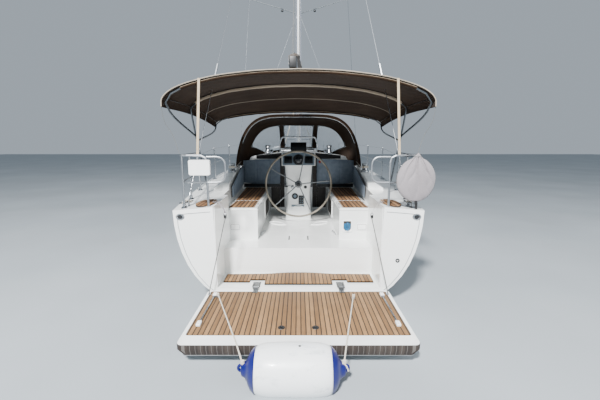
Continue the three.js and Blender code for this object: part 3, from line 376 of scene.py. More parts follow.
def finish_named(name, base, roughness, tint=None, wear=None, relief=None, metallic=0.0, **sockets):
    """A new finish: single values on the shader's own sockets, then a pattern of noise on colour, roughness and relief.
    A pattern is its scale, detail and roughness, and what drive takes."""
    material = bpy.data.materials.new(name)
    material.use_nodes = True
    tree = material.node_tree
    shader = tree.nodes["Principled BSDF"]
    shader.inputs["Base Color"].default_value = colour(base)
    shader.inputs["Roughness"].default_value = roughness
    shader.inputs["Metallic"].default_value = metallic
    for key, value in sockets.items():
        shader.inputs[key.replace("_", " ")].default_value = value
    material.diffuse_color = colour(base)
    place = add(tree, "TexCoord")
    for socket, pattern in (("Base Color", tint), ("Roughness", wear), ("Normal", relief)):
        if pattern:
            drive(tree, shader, socket, grain(tree, place, *pattern[:3]), "Fac", pattern[3])
    return material, tree, shader, place


# Hull gelcoat, moulded: glossy, slow waviness and dull patches of dried salt as on the deck's, with painted shade that
# greys it towards the waterline, and dark antifouling below the waterline.
def hull_gelcoat():
    material, tree, shader, place = finish_named("gelcoat_hull", "#f4f5f3", 0.2, None, (7, 8, 0.7, (0.1, 0.32)),
                                                 (30, 2, 0.5, (0.05, 0.003)), Coat_Weight=0.4, Coat_Roughness=0.08)
    split = add(tree, "SeparateXYZ", None, {"Vector": (place, "Object")})
    height = add(tree, "MapRange", {"From Min": -0.2, "From Max": 1.8}, {"Value": (split, "Z")})
    # Grey from z 0.4 down to the waterline: painted shade at the hull's foot; antifouling below it.
    zones = add(tree, "ValToRGB", None, {"Fac": (height, "Result")},
                [(0.0, "#27364d"), (0.108, "#dfe2df"), (0.3, "#f4f5f3"), (0.106, "#27364d")])
    share = add(tree, "MapRange", {"To Min": 0.0, "To Max": 0.14},
                {"Value": (grain(tree, place, 1.1, 6, 0.62), "Fac")})
    grime = add(tree, "Mix", {"data_type": "RGBA", "blend_type": "MULTIPLY"})
    tree.links.new(share.outputs["Result"], grime.inputs["Factor"])
    tree.links.new(zones.outputs["Color"], grime.inputs["A"])
    grime.inputs["B"].default_value = colour("#c9cbc4")
    tree.links.new(grime.outputs["Result"], shader.inputs["Base Color"])
    return material


# Teak laid deck, planed and weathered: long grain, a tone of its own for each plank, dull surface.
def laid_teak(name, pitch, shift=0.0, tones=("#634930", "#7d5f3f", "#9a7853")):
    material, tree, shader, place = finish_named(name, tones[1], 0.72, Specular_IOR_Level=0.3)
    split = add(tree, "SeparateXYZ", None, {"Vector": (place, "Object")})
    shifted = add(tree, "Math", {"operation": "ADD", 1: shift}, {0: (split, "X")})
    shared = add(tree, "Math", {"operation": "DIVIDE", 1: pitch}, {0: (shifted, "Value")})
    plank = add(tree, "Math", {"operation": "FLOOR"}, {0: (shared, "Value")})
    tone = add(tree, "TexWhiteNoise", {"noise_dimensions": "1D"}, {"W": (plank, "Value")})
    fibres = grain(tree, place, (130, 7, 130), 6, 0.65)
    first = add(tree, "Mix", {"data_type": "FLOAT", "Factor": 0.62},
                {"A": (tone, "Value"), "B": (fibres, "Fac")})
    both = add(tree, "Mix", {"data_type": "FLOAT", "Factor": 0.28},
               {"A": (first, "Result"), "B": (grain(tree, place, 5, 3, 0.6), "Fac")})
    drive(tree, shader, "Base Color", both, "Result", [(0.25, tones[0]), (0.75, tones[2]), (0.5, tones[1])])
    drive(tree, shader, "Roughness", fibres, "Fac", (0.6, 0.85))
    drive(tree, shader, "Normal", fibres, "Fac", (0.25, 0.0006))
    return material


# Stainless steel tube and castings, polished: bright, with fine drawn lines and duller finger marks.
def polished_stainless(name, base="#a6aaae", low=0.18, high=0.38):
    return finish_named(name, base, 0.18, None, (22, 6, 0.7, (low, high)),
                        ((900, 900, 60), 2, 0.5, (0.04, 0.0003)), 1.0)[0]


# Aluminium section, anodised: satin, with faint lengthwise drawing marks and chalky patches.
def anodised_aluminium(name, base, lengthwise):
    material, tree, shader, place = finish_named(name, base, 0.4, metallic=1.0)
    drawn = grain(tree, place, lengthwise, 4, 0.6)
    mixed = add(tree, "Mix", {"data_type": "FLOAT", "Factor": 0.5},
                {"A": (drawn, "Fac"), "B": (grain(tree, place, 3, 6, 0.65), "Fac")})
    drive(tree, shader, "Roughness", mixed, "Result", (0.3, 0.52))
    drive(tree, shader, "Normal", drawn, "Fac", (0.06, 0.0005))
    return material


# Acrylic canvas, woven: thread crossings, soft sheen, sun-faded patches. Threads are 0.5 mm
# apart on the real cloth and drawn at 2.5 mm, so that they show.
def woven_canvas(name, base, dark, faded, thread=0.0025, sheen=0.25):
    material, tree, shader, place = finish_named(name, base, 0.88, Sheen_Weight=sheen, Sheen_Roughness=0.5,
                                                 Specular_IOR_Level=sheen)
    warp, weft = (add(tree, "TexWave", {"bands_direction": way, "Scale": 1 / thread / TAU * 3.14,
                                                  "Distortion": 0.6, "Detail": 2}, {"Vector": (place, "Object")})
                  for way in "XY")
    cross = add(tree, "Math", {"operation": "MULTIPLY"}, {0: (warp, "Fac"), 1: (weft, "Fac")})
    first = add(tree, "Mix", {"data_type": "FLOAT", "Factor": 0.35},
                {"A": (grain(tree, place, 1.6, 5, 0.6), "Fac"), "B": (grain(tree, place, 160, 4, 0.7), "Fac")})
    drive(tree, shader, "Base Color", first, "Result", [(0.3, dark), (0.72, faded), (0.5, base)])
    drive(tree, shader, "Normal", cross, "Value", (0.35, 0.0006))
    return material


# Plastics, injection moulded, with a fine spark-eroded grain.
def moulded_plastic(name, base, light, roughness=0.45, pits=260):
    return finish_named(name, base, roughness, (14, 4, 0.5, [(0.35, base), (0.65, light)]),
                        (30, 5, 0.5, (roughness - 0.1, roughness + 0.12)), (pits, 2, 0.5, (0.12, 0.0003)))[0]


# Leather hand-stitched round a rim: small pores and a worn, lighter grip.
def stitched_leather():
    material, tree, shader, place = finish_named("leather_wrapped", "#6f695d", 0.6,
                                                 (6, 4, 0.5, [(0.35, "#5c564b"), (0.7, "#847d70")]))
    pores = add(tree, "TexVoronoi", {"Scale": 420}, {"Vector": (place, "Object")})
    drive(tree, shader, "Normal", pores, "Distance", (0.3, 0.0005))
    return material


# Polyester rope, braided: slanting strands every 8 mm with a coloured fleck.
def braided_rope(name, base, fleck):
    material, tree, shader, place = finish_named(name, base, 0.85, Sheen_Weight=0.2)
    strands = add(tree, "TexWave", {"bands_direction": "DIAGONAL", "Scale": 0.5 / 0.008,
                                              "Distortion": 1.5, "Detail": 2}, {"Vector": (place, "Object")})
    drive(tree, shader, "Base Color", strands, "Fac", [(0.2, fleck), (0.45, base)])
    drive(tree, shader, "Normal", strands, "Fac", (0.5, 0.001))
    return material


# Cast metals: bronze, galvanised steel.
def cast_metal(name, dark, light, low, high, scale):
    return finish_named(name, light, (low + high) / 2, (scale, 7, 0.7, [(0.3, dark), (0.65, light)]),
                        (scale, 7, 0.7, (high, low)), (150, 3, 0.5, (0.2, 0.0008)), 1.0)[0]


# Inflated vinyl, rotation moulded: smooth skin scuffed where it rubs.
def fender_vinyl(name, base, scuff):
    return finish_named(name, base, 0.35, ((5, 15, 10), 8, 0.75, [(0.28, scuff), (0.46, base)]),
                        (12, 6, 0.5, (0.26, 0.5)), (60, 3, 0.5, (0.06, 0.001)), Coat_Weight=0.15)[0]


# White gelcoat, moulded: glossy, with a slow waviness, a faint greying and dull patches of dried salt.
GELCOAT = finish_named("gelcoat_moulded", "#f4f5f3", 0.2, (1.7, 6, 0.6, [(0.38, "#e6e8e6"), (0.62, "#f4f5f3")]),
                       (9, 8, 0.7, (0.12, 0.34)), (45, 2, 0.5, (0.05, 0.002)), Coat_Weight=0.4, Coat_Roughness=0.08)[0]
HULL = hull_gelcoat()
PLANK = 0.0457
SEAT_PITCH = 0.0575
DECK_TEAK = laid_teak("teak_platform_planks", PLANK, PLANK / 2)
SEAT_TEAK = laid_teak("teak_seat_planks", SEAT_PITCH, 0.0, ("#5a402a", "#7a5a3d", "#977552"))
# Near-black teak of the platform's after slats: painted shade under the platform's rim.
SLAT_TEAK_PAINTED_SHADE = laid_teak("teak_slats_painted_shade", PLANK, PLANK / 2, ("#2b2624", "#3a332f", "#4a423c"))
# Black caulking compound, poured and sanded flush: dull, with grit drawn at 2.5 mm so that it shows.
CAULK = finish_named("caulking_compound_sanded", "#1c1a18", 0.75, (400, 3, 0.5, [(0.3, "#141210"), (0.7, "#2a2623")]),
                     None, (400, 3, 0.5, (0.2, 0.0004)))[0]
STEEL = polished_stainless("stainless_polished")
DULL_STEEL = polished_stainless("stainless_sand_cast", "#b9bcbe", 0.25, 0.5)
# Darkened steel of the bimini's bows: painted shade and a painted dark reflection under the canopy.
BOW_STEEL_PAINTED_SHADE = polished_stainless("stainless_bow_tube_painted_shade", "#5c5f62", 0.24, 0.42)
SATIN_STEEL = polished_stainless("stainless_tube_satin", "#a0a4a8", 0.36, 0.52)
HINGE_STEEL = polished_stainless("stainless_cast_weathered", "#76797b", 0.34, 0.56)
MAST_METAL = anodised_aluminium("aluminium_mast_anodised", "#cfd3d6", (90, 90, 1.5))
BOOM_METAL = anodised_aluminium("aluminium_boom_anodised", "#c3c7ca", (90, 1.5, 90))
# Taupe canvas painted far darker than the cloth itself: painted shade, the shade under the bimini, on every piece in
# it.
CANVAS_PAINTED_SHADE = woven_canvas("canvas_acrylic_taupe_painted_shade", "#2e2219", "#251a12", "#3a2c22", sheen=0.05)
SLEEVE_CLOTH = woven_canvas("canvas_acrylic_sleeve", "#857766", "#746756", "#968877")
COVER_CLOTH = woven_canvas("canvas_sail_cover", "#4c443c", "#3f3831", "#5a5148")
PIPING = woven_canvas("canvas_binding_pale", "#8f8679", "#7c7367", "#a0978a", 0.002)
GREY_CLOTH = woven_canvas("polyester_cover_grey", "#857f82", "#716b6f", "#999396")
WEBBING = woven_canvas("webbing_polyester_beige", "#b8a68c", "#9c8b72", "#cdbda4", 0.003)
BLACK_WEBBING = woven_canvas("webbing_polyester_black", "#1d1c1e", "#151416", "#29282b", 0.003)
SLAT_BACKING = moulded_plastic("glassfibre_grey_backing", "#57524e", "#625d58", 0.6, 120)
# Grey of the transom's beads: painted shade along a white moulded bead.
BEAD_PAINTED_SHADE = moulded_plastic("bead_grey_painted_shade", "#8e9193", "#9c9fa1", 0.6, 120)
BLACK = moulded_plastic("nylon_black_moulded", "#141516", "#1e1f21", 0.42)
GREY_PANEL = moulded_plastic("abs_grey_panel", "#586874", "#65747f")
# Slate of the backrests: painted shade and painted sky reflection on the cabin's aft face and the coamings' inner
# sides.
SLATE_PAINTED_SHADE = moulded_plastic("vinyl_slate_backrest_painted_shade", "#6a7785", "#788593", 0.5, 180)
# Dark umber: painted shade, on the bulkhead round the companionway, in the seats' inner faces and in the shower box's
# recess.
UMBER_PAINTED_SHADE = moulded_plastic("laminate_dark_umber_painted_shade", "#241f1b", "#2e2823", 0.5, 180)
WHITE_PLASTIC = moulded_plastic("polyethylene_white", "#eceded", "#f5f5f3", 0.35)
TEAL = moulded_plastic("polyethylene_teal", "#004468", "#04608a", 0.35)
RED = moulded_plastic("polycarbonate_red", "#8f1d1a", "#a52823", 0.35)
GREEN = moulded_plastic("polycarbonate_green", "#14603c", "#1c734a", 0.35)
ENGINE_PAINT = moulded_plastic("enamel_engine_sprayed", "#5e6468", "#6c7276", 0.4)
GREY_LEG = moulded_plastic("aluminium_leg_painted", "#84898d", "#92979b", 0.5)
# Clear vinyl window, calendered and slightly hazed by sun.
FILM = finish_named("vinyl_window_clear", "#c9d6df", 0.08, None, (4, 6, 0.7, (0.05, 0.22)),
                    (6, 2, 0.5, (0.25, 0.004)), Alpha=0.24, Specular_IOR_Level=0.6)[0]
# Smoked acrylic, cast: nearly black, hard gloss, fine scratches.
SMOKED = finish_named("acrylic_smoked_cast", "#12171b", 0.06, None, ((60, 400, 60), 8, 0.75, (0.03, 0.2)),
                      Coat_Weight=0.3)[0]
# Glass of a display, dark and even, under a hard coat.
GLASS = finish_named("display_glass", "#04090d", 0.3, None, (30, 4, 0.5, (0.22, 0.36)), Specular_IOR_Level=0.3)[0]
LEATHER = stitched_leather()
ROPE = braided_rope("rope_polyester_white", "#d9d4c8", "#9b8f7c")
DARK_ROPE = braided_rope("rope_polyester_grey", "#6a6a68", "#34383c")
BLUE_ROPE = braided_rope("rope_polyester_blue_fleck", "#c9ccd2", "#2c4d86")
# Antifouling paint, rolled on: dead matt with a stippled film.
ANTIFOUL = finish_named("antifouling_rolled", "#27364d", 0.85, (2.2, 7, 0.7, [(0.35, "#1f2c40"), (0.7, "#33445d")]),
                        None, (120, 3, 0.5, (0.3, 0.001)))[0]
BRONZE = cast_metal("bronze_cast", "#5c4a2c", "#a8874f", 0.3, 0.55, 18)
ZINC = cast_metal("steel_hot_dip_galvanised", "#7d8083", "#a7aaad", 0.45, 0.7, 40)
FENDER_WHITE = fender_vinyl("vinyl_fender_white", "#eef1f2", "#b9c0c4")
FENDER_BLUE = fender_vinyl("vinyl_fender_blue", "#00075e", "#00053e")
# Sailcloth, woven and calendered: crisp, faintly ribbed and yellowed.
SAILCLOTH = finish_named("polyester_sailcloth", "#e9e7df", 0.6, (2.5, 6, 0.6, [(0.35, "#d6d2c6"), (0.65, "#e9e7df")]),
                         None, ((260, 260, 30), 3, 0.5, (0.25, 0.0008)), Sheen_Weight=0.15)[0]

# The slot that a finish belongs to, where a piece's own line doesn't name another.
SLOTS = {finish: slot for slot, finishes in {
    "teak": (CAULK, DECK_TEAK, SEAT_TEAK, SLAT_TEAK_PAINTED_SHADE, SLAT_BACKING),
    "stainless": (STEEL, DULL_STEEL, HINGE_STEEL, SATIN_STEEL, LEATHER),
    "gelcoat": (GELCOAT, WHITE_PLASTIC, BEAD_PAINTED_SHADE, TEAL),
    "vinyl": (FENDER_WHITE, FENDER_BLUE),
    "black_plastic": (BLACK, RED, GREEN, GLASS),
    "canvas": (ROPE, BLUE_ROPE, DARK_ROPE, CANVAS_PAINTED_SHADE, SLEEVE_CLOTH, PIPING, FILM, WEBBING, BLACK_WEBBING, GREY_CLOTH),
    "sail_cover": (COVER_CLOTH,), "sailcloth": (SAILCLOTH,), "anodised": (MAST_METAL, BOOM_METAL),
    "smoked_acrylic": (SMOKED,), "grey_panel": (GREY_PANEL, SLATE_PAINTED_SHADE, UMBER_PAINTED_SHADE)}.items() for finish in finishes}

# Finishes of the solids, by name without the side; those that aren't listed are polished steel.
CAD_FINISHES = {name: finish for finish, names in {
    HULL: "hull", WHITE_PLASTIC: "outboard_board", CANVAS_PAINTED_SHADE: "sprayhood_frame", MAST_METAL: "mast",
    GELCOAT: "cockpit coachroof hatch_garage anchor_well_lid coaming pedestal platform instrument_pod locker_lid "
             "seat_teak",
    CAULK: "transom_step platform_teak", SMOKED: "window companionway_hatch washboard foredeck_hatch",
    ANTIFOUL: "keel rudder", GREY_LEG: "drive_leg", BRONZE: "propeller", ENGINE_PAINT: "engine", ZINC: "anchor",
    BLACK: "furler_drum", BOW_STEEL_PAINTED_SHADE: "bimini_bow_aft bimini_bow_middle bimini_bow_front", BOOM_METAL: "boom vang",
    HINGE_STEEL: "platform_hinge hinge_bracket", SATIN_STEEL: "pushpit backstay pulpit"}.items()
    for name in names.split()}
for name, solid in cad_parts.items():
    solid.data.materials.clear()
    solid.data.materials.append(CAD_FINISHES.get(name.removesuffix("_port").removesuffix("_starboard"), STEEL))


# Teak: planks laid fore and aft, a groove of caulk between each two.
def rounded(x0, x1, y0, y1, r, steps=4):
    """Outline of a rectangle with rounded corners, anticlockwise."""
    spots = []
    for cx, cy, quarter in ((x1 - r, y1 - r, 0), (x0 + r, y1 - r, 1), (x0 + r, y0 + r, 2), (x1 - r, y0 + r, 3)):
        for i in range(steps + 1):
            turn = pi / 2 * (quarter + i / steps)
            spots.append((cx + r * cos(turn), cy + r * sin(turn)))
    return spots


def raised_plate(name, outline, low, high):
    """An outline in X and Y made a plate between two heights."""
    return drawn_out(outline_face(name, [(x, y, low) for x, y in outline]), (0, 0, high - low))


def planks(name, outline, low, high, pitch, groove=0.0095, shift=0.0):
    """Cuts an outline into planks with grooves between them, then gives them their thickness."""
    piece = outline_face(name, [(x, y, low) for x, y in outline])
    left = min(x for x, y in outline)
    right = max(x for x, y in outline)
    first = ceil((left - shift) / pitch)
    lines = [shift + pitch * k for k in range(first, int((right - shift) / pitch) + 1)]
    for line in lines:
        for side in (-1, 1):
            everything(piece)
            bpy.ops.mesh.bisect(plane_co=(line + side * groove / 2, 0, 0), plane_no=(1, 0, 0))
    choose(piece, lambda middle, normal: any(abs(middle.x - line) < groove * 0.4 for line in lines))
    bpy.ops.mesh.delete(type="FACE")
    drawn_out(piece, (0, 0, high - low), 1e-6)
    sunk(piece, (0, 0, 1), 0.0009, 0.0006)
    return piece


PLATFORM_TOP = 0.2
STEP_TOP = 0.248
SEAT_TOP = 1.008


def platform_deck():
    outline = rounded(-0.996, 0.996, -5.77, -4.887, 0.024)
    put(raised_plate("platform_caulk", outline, 0.1823, PLATFORM_TOP - 0.0022), CAULK, body="platform")
    deck = planks("platform_planks", rounded(-0.992, 0.992, -5.766, -4.891, 0.022), 0.19, PLATFORM_TOP - 0.0006,
                  PLANK, shift=PLANK / 2)
    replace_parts(put(deck, DECK_TEAK, body="platform"), "platform_teak")


def step_deck():
    aft = [(0.4, -4.776), (0.4, -4.65), (0.584, -4.65), (0.584, -4.71), (0.895, -4.71)]
    outline = [(-x, y) for x, y in aft[::-1]] + aft + [(0.895, -4.487), (0.44, -4.475)]
    outline += [(x / 100, -4.466 + 0.038 * sin(pi * (0.36 - x / 100) / 0.72)) for x in range(36, -37, -4)]
    outline += [(-0.44, -4.475), (-0.895, -4.487)]
    put(raised_plate("step_caulk", outline, 0.2283, STEP_TOP - 0.0022), CAULK)
    deck = planks("step_planks", outline, 0.236, STEP_TOP - 0.0006, PLANK, shift=PLANK / 2)
    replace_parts(put(deck, DECK_TEAK), "transom_step")


def seat_decks():
    for side, s in SIDES:
        lid = (0.606, 0.952, -4.024, -3.456)
        bench = [(0.606, -3.424), (0.962, -3.424), (1.048, -1.848), (0.606, -1.848)]
        rows = ((f"lid_planks_{side}", rounded(*lid, 0.012), f"locker_lid_{side}"),
                (f"seat_planks_{side}", bench, "yacht"))
        for name, outline, body in rows:
            outline = [(s * x, y) for x, y in outline][::s]
            base = raised_plate(name.replace("planks", "caulk"), outline, SEAT_TOP, SEAT_TOP + 0.0012)
            put(base, CAULK, body=body)
            top = planks(name, outline, SEAT_TOP + 0.0002, SEAT_TOP + 0.0034, SEAT_PITCH, 0.017)
            put(top, SEAT_TEAK, body=body)


def side_deck_pads():
    """Oval teak pads on the side decks, just inside the backstay chainplates."""
    for side, s in SIDES:
        spots = [(s * (1.09 + 0.112 * cos(a)), -4.56 + s * 0.25 * sin(a)) for a in angles(32)]
        top = deck_height(1.09, -4.56) + 0.006
        put(raised_plate(f"deck_pad_caulk_{side}", spots, top - 0.02, top), CAULK)
        pad = planks(f"deck_pad_{side}", spots, top - 0.001, top + 0.003, 0.05, 0.013)
        put(pad, SEAT_TEAK)


HULL_ROWS = [(-4.85, 1.395, 1.134), (-3.4, 1.59, 1.16), (-1.9, 1.69, 1.195), (-0.4, 1.71, 1.235), (1.1, 1.62, 1.285),
             (2.4, 1.35, 1.335), (3.5, 0.93, 1.385), (4.3, 0.5, 1.425), (4.7, 0.235, 1.443), (4.84, 0.12, 1.449),
             (4.9, 0.045, 1.452)]
CAMBER = 0.07


def deck_height(x, y):
    beam = read(HULL_ROWS, 1, y)
    return read(HULL_ROWS, 2, y) + CAMBER * (1 - min(1, (x / beam) ** 2))


CORNER = {"x": 0.985, "y": -5.865, "r": 0.0474}          # of the platform's aft corners, above the knee
LOW_CORNER = {"x": 0.95, "y": -5.848, "r": 0.0424}       # and at its lower edge
SLAT_LOW, SLAT_KNEE, SLAT_HIGH = 0.092, 0.147, 0.1965


def round_aft(turn, z, out=0.0):
    """A place on the platform's after face. Turn is a pair: the side, from -1 to 1, which shares out the corners' x,
    and the angle that the face has turned through round that corner."""
    share = min(1, max(0, (SLAT_KNEE - z) / (SLAT_KNEE - SLAT_LOW)))
    x, y, r = (mix(CORNER[key], LOW_CORNER[key], share) for key in ("x", "y", "r"))
    side, angle = turn
    return Vector((side * x + (r + out) * sin(angle), y - (r + out) * cos(angle), z))


def aft_slats():
    """Battens on the platform's after face, dark with painted shade, one under each deck plank and on round the
    corners, and a trim.
    """
    width = PLANK - 0.0055
    heights = (SLAT_LOW, SLAT_KNEE, SLAT_HIGH)
    first = draped("aft_slats", 1, 2, lambda u, v: round_aft((0, 0), heights[round(2 * v)])
                   + Vector((mix(-1, 1, u) * width / 2, 0, 0)), 0.006, -1)
    count = 42
    moved(first, (-(count - 1) / 2 * PLANK, 0, 0))
    modify(first, "ARRAY", count=count, use_relative_offset=False, use_constant_offset=True,
           constant_offset_displace=(PLANK, 0, 0))
    modify(first, "BEVEL", width=0.0012, segments=1)
    put(first, SLAT_TEAK_PAINTED_SHADE, body="platform")
    for side, s in SIDES:
        for k, (a, b) in enumerate(((0.0, 0.66), (0.75, 1.45))):
            piece = draped(f"corner_slat_{side}_{k}", 3, 2,
                           lambda u, v: round_aft((s, s * mix(a, b, u)), heights[round(2 * v)]), 0.006, -s)
            put(piece, SLAT_TEAK_PAINTED_SHADE, 30, body="platform")
    turns = [(-1, -1.5 + 0.15 * k) for k in range(11)] + [(1, 0.15 * k) for k in range(11)]
    back = draped("aft_slat_backing", len(turns) - 1, 2,
                  lambda u, v: round_aft(turns[round(u * (len(turns) - 1))], heights[round(2 * v)], -0.0014),
                  0.002, -1)
    put(back, SLAT_BACKING, body="platform")
    edge = [round_aft(turns[0], z, 0.001) for z in (0.192, SLAT_KNEE)]
    edge += [round_aft(turn, SLAT_LOW - 0.001, 0.001) for turn in turns]
    edge += [round_aft(turns[-1], z, 0.001) for z in (SLAT_KNEE, 0.192)]
    piped("aft_slat_trim", edge, 0.0026, 8, DULL_STEEL, 35, body="platform")


def flush_fittings():
    """Two dark flush catches in the platform, each a ring with a sunk cross-shaped grip."""
    for side, s in SIDES:
        at = (s * 0.156, -5.644, PLATFORM_TOP)
        ring = turned(f"platform_catch_{side}", [(0, 0.0008), (0.018, 0.0008), (0.021, 0.0034), (0.031, 0.0034),
                                                 (0.034, 0.0005), (0.034, -0.006)], at)
        bars = [slab(f"bar_{k}", (at[0] - 0.0045, at[1] - 0.019, at[2] + 0.0004),
                     (at[0] + 0.0045, at[1] + 0.019, at[2] + 0.0028), 0.001) for k in range(2)]
        swung(bars[1], -pi / 2, at, "Z")
        put(joined(f"platform_catch_{side}", [ring, *bars]), BLACK, body="platform")


def rail_ends():
    """White end fittings and a middle foot on the platform's side rods."""
    for side, s in SIDES:
        x = s * 0.925
        for place, y in (("aft", -5.6), ("fore", -5.0)):
            body = slab(f"rail_end_{place}_{side}", (x - 0.021, y - 0.036, 0.2005), (x + 0.021, y + 0.036, 0.229),
                        0.008, 3)
            choose(body, lambda middle, normal: normal.z > 0.9)
            bpy.ops.mesh.inset(thickness=0.006, depth=-0.0025)
            free()
            screws = [turned("screw", [(0, 0.001), (0.0035, 0.0008), (0.004, 0)], (x, y + k * 0.02, 0.2268), steps=12)
                      for k in (-1, 1)]
            put(body, WHITE_PLASTIC, body="platform")
            put(joined(f"rail_screws_{place}_{side}", screws), STEEL, body="platform")


def hinge_dressing():
    """Pin heads and screws on the two platform hinges."""
    for side, s in SIDES:
        x = s * 0.492
        screw = [(0, 0.0022), (0.004, 0.0018), (0.0055, 0)]
        heads = [turned("pin", [(0, 0.004 * e), (0.006, 0.004 * e), (0.0095, 0.002 * e), (0.0095, 0)],
                        (x + e * 0.0363, -4.862, 0.24), "x", 16) for e in (-1, 1)]
        heads += [turned("screw", screw, (x + e * 0.016, y, 0.206), steps=12) for y in (-4.888, -4.912)
                  for e in (-1, 1)]
        put(joined(f"hinge_pins_{side}", heads), STEEL, body="platform")
        feet = [turned("screw", screw, (x + e * 0.024, -4.715, 0.235), steps=12) for e in (-1, 1)]
        put(joined(f"hinge_foot_screws_{side}", feet), STEEL)


platform_deck()
step_deck()
seat_decks()
side_deck_pads()
aft_slats()
flush_fittings()
rail_ends()
hinge_dressing()


# Fender: an inflated vinyl body with blue ends and eyes, and its two ropes.
FENDER = (-0.04, -6.1065, 0.12)
FENDER_RADIUS = 0.2
RIM_TOP = 0.2085


def laid_rope(name, spots, radius, lay=0.05, strands=3):
    """Three strands laid round each other along a line of points."""
    runs = [0]
    for a, b in zip(spots, spots[1:]):
        runs.append(runs[-1] + (b - a).length)
    count = max(6, int(runs[-1] / lay * 7))

    def spot_at(length):
        i = next((k for k in range(1, len(runs)) if runs[k] >= length), len(runs) - 1)
        return spots[i - 1].lerp(spots[i], (length - runs[i - 1]) / (runs[i] - runs[i - 1]))
    parts = []
    for strand in range(strands):
        line = []
        for k in range(count + 1):
            length = runs[-1] * k / count
            here = spot_at(length)
            ahead = spot_at(min(length + 0.002, runs[-1])) - spot_at(max(length - 0.002, 0))
            side = ahead.cross(Vector((0.3, 0.9, 0.31))).normalized()
            up = ahead.cross(side).normalized()
            turn = TAU * (length / lay + strand / strands)
            line.append(here + (side * cos(turn) + up * sin(turn)) * radius * 0.5)
        parts.append(tube(f"{name}_{strand}", line, radius * 0.56, 6))
    return joined(name, parts)


def fender():
    profile = [(0.058, -0.352), (0.1, -0.345), (0.142, -0.325), (0.17, -0.295), (0.187, -0.255), (0.196, -0.2),
               (0.2, -0.12), (0.2, 0.12), (0.196, 0.2), (0.187, 0.255), (0.17, 0.295), (0.142, 0.325), (0.1, 0.345),
               (0.058, 0.352)]
    body = turned("fender_body", profile, FENDER, "x", 48)
    modify(body, "SUBSURF", levels=1, render_levels=1)
    put(body, FENDER_WHITE, 60, body="platform")
    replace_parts(body, "fender")
    for side, s in SIDES:
        cap = [(0.1745, 0.294 * s), (0.1445, 0.3275 * s), (0.112, 0.3475 * s), (0.075, 0.362 * s), (0.06, 0.378 * s),
               (0.05, 0.4 * s), (0.032, 0.409 * s), (0, 0.411 * s)]
        end_cap = turned("cap", cap, FENDER, "x", 40)
        eye = turned("eye", ring_profile(0.026, 0.0115, 12), (FENDER[0] + s * 0.405, FENDER[1], FENDER[2] + 0.012),
                     "y", 24)
        rib = slab("rib", (FENDER[0] + s * 0.33, FENDER[1] - 0.009, FENDER[2] - 0.05),
                   (FENDER[0] + s * 0.395, FENDER[1] + 0.009, FENDER[2] + 0.05), 0.007, 3)
        blue = joined(f"fender_end_{side}", [end_cap, eye, rib])
        modify(blue, "BEVEL", width=0.002, segments=2, angle_limit=0.7)
        put(blue, FENDER_BLUE, 45, body="platform")
    put(turned("fender_valve", [(0, 0.003), (0.008, 0.003), (0.011, 0.0015), (0.012, -0.004)],
               (FENDER[0] + 0.05, FENDER[1], FENDER[2] + FENDER_RADIUS - 0.002), "z", 20), BLACK, body="platform")


def knot(name, at, rope, size):
    """A round turn and two half hitches drawn as three close loops."""
    line = []
    for k in range(49):
        turn = TAU * 3 * k / 48
        line.append(at + Vector((size * cos(turn), size * 0.8 * sin(turn), rope * 1.5 * (k / 16 - 1.5))))
    return tube(name, line, rope * 0.9, 8)


def over_the_rim(low, high):
    """A rope's line from the fender's eye, up over the platform's rim and on to its eye on deck."""
    spots = [low]
    for y in (-5.925, -5.885):
        share = (y - low.y) / (high.y - low.y)
        spots.append(Vector((mix(low.x, high.x, share), y, RIM_TOP)))
    last = spots[-1]
    return spots + [last.lerp(high, k / 8) for k in range(1, 9)]


def fender_ropes():
    rope = 0.0065
    rows = (("port", (-0.435, FENDER[1] - 0.01, 0.175), (-0.885, -5.02, 0.226)),
            ("starboard", (0.355, FENDER[1] - 0.01, 0.175), (0.6, -5.05, 0.226)))
    for side, low, high in rows:
        low, high = Vector(low), Vector(high)
        run = laid_rope("run", over_the_rim(low, high), rope)
        loop = [Vector((low.x, FENDER[1] + 0.021 * cos(a), 0.147 + 0.024 * sin(a))) for a in angles(20)]
        eye_loop = tube("loop", loop, rope * 0.9, 8, closed=True)
        ties = knot("tie", low + Vector((0, 0.004, 0.012)), rope, 0.012)
        tail = tube("tail", smoothed([low, low + Vector((0.02, -0.01, -0.02)), low + Vector((0.032, -0.012, -0.055))],
                                     5), rope * 0.85, 8)
        put(joined(f"fender_rope_{side}", [run, eye_loop, ties, tail]), ROPE, 50, body="platform")
        foot = turned(f"rope_eye_plate_{side}", [(0, 0.008), (0.01, 0.008), (0.016, 0.003), (0.02, 0)],
                      (high.x, high.y + 0.002, 0.2), steps=20)
        ring = turned("ring", ring_profile(0.013, 0.003, 8), (high.x, high.y + 0.002, 0.217), "x", 20)
        hitch = knot(f"rope_hitch_{side}", high + Vector((0, -0.01, 0.006)), rope, 0.011)
        put(joined(f"rope_eye_{side}", [foot, ring]), STEEL, body="platform")
        put(hitch, ROPE, 50, body="platform")


fender()
fender_ropes()


# Covers: bimini, sprayhood, sail cover, horseshoe buoy and furled headsail.
CANOPY = [(-4.85, 1.45, 2.63, 2.29), (-3.95, 1.455, 2.645, 2.3), (-3.24, 1.44, 2.56, 2.26), (-2.69, 1.415, 2.42, 2.19)]
CANOPY_BOWS = (-4.815, -3.95, -2.725)
CANOPY_HEM = 0.04
BOW_INSET = 0.0282               # from the cloth to a bow's axis


ARCHES = {}                      # arches and strips that have been worked out, by their measures


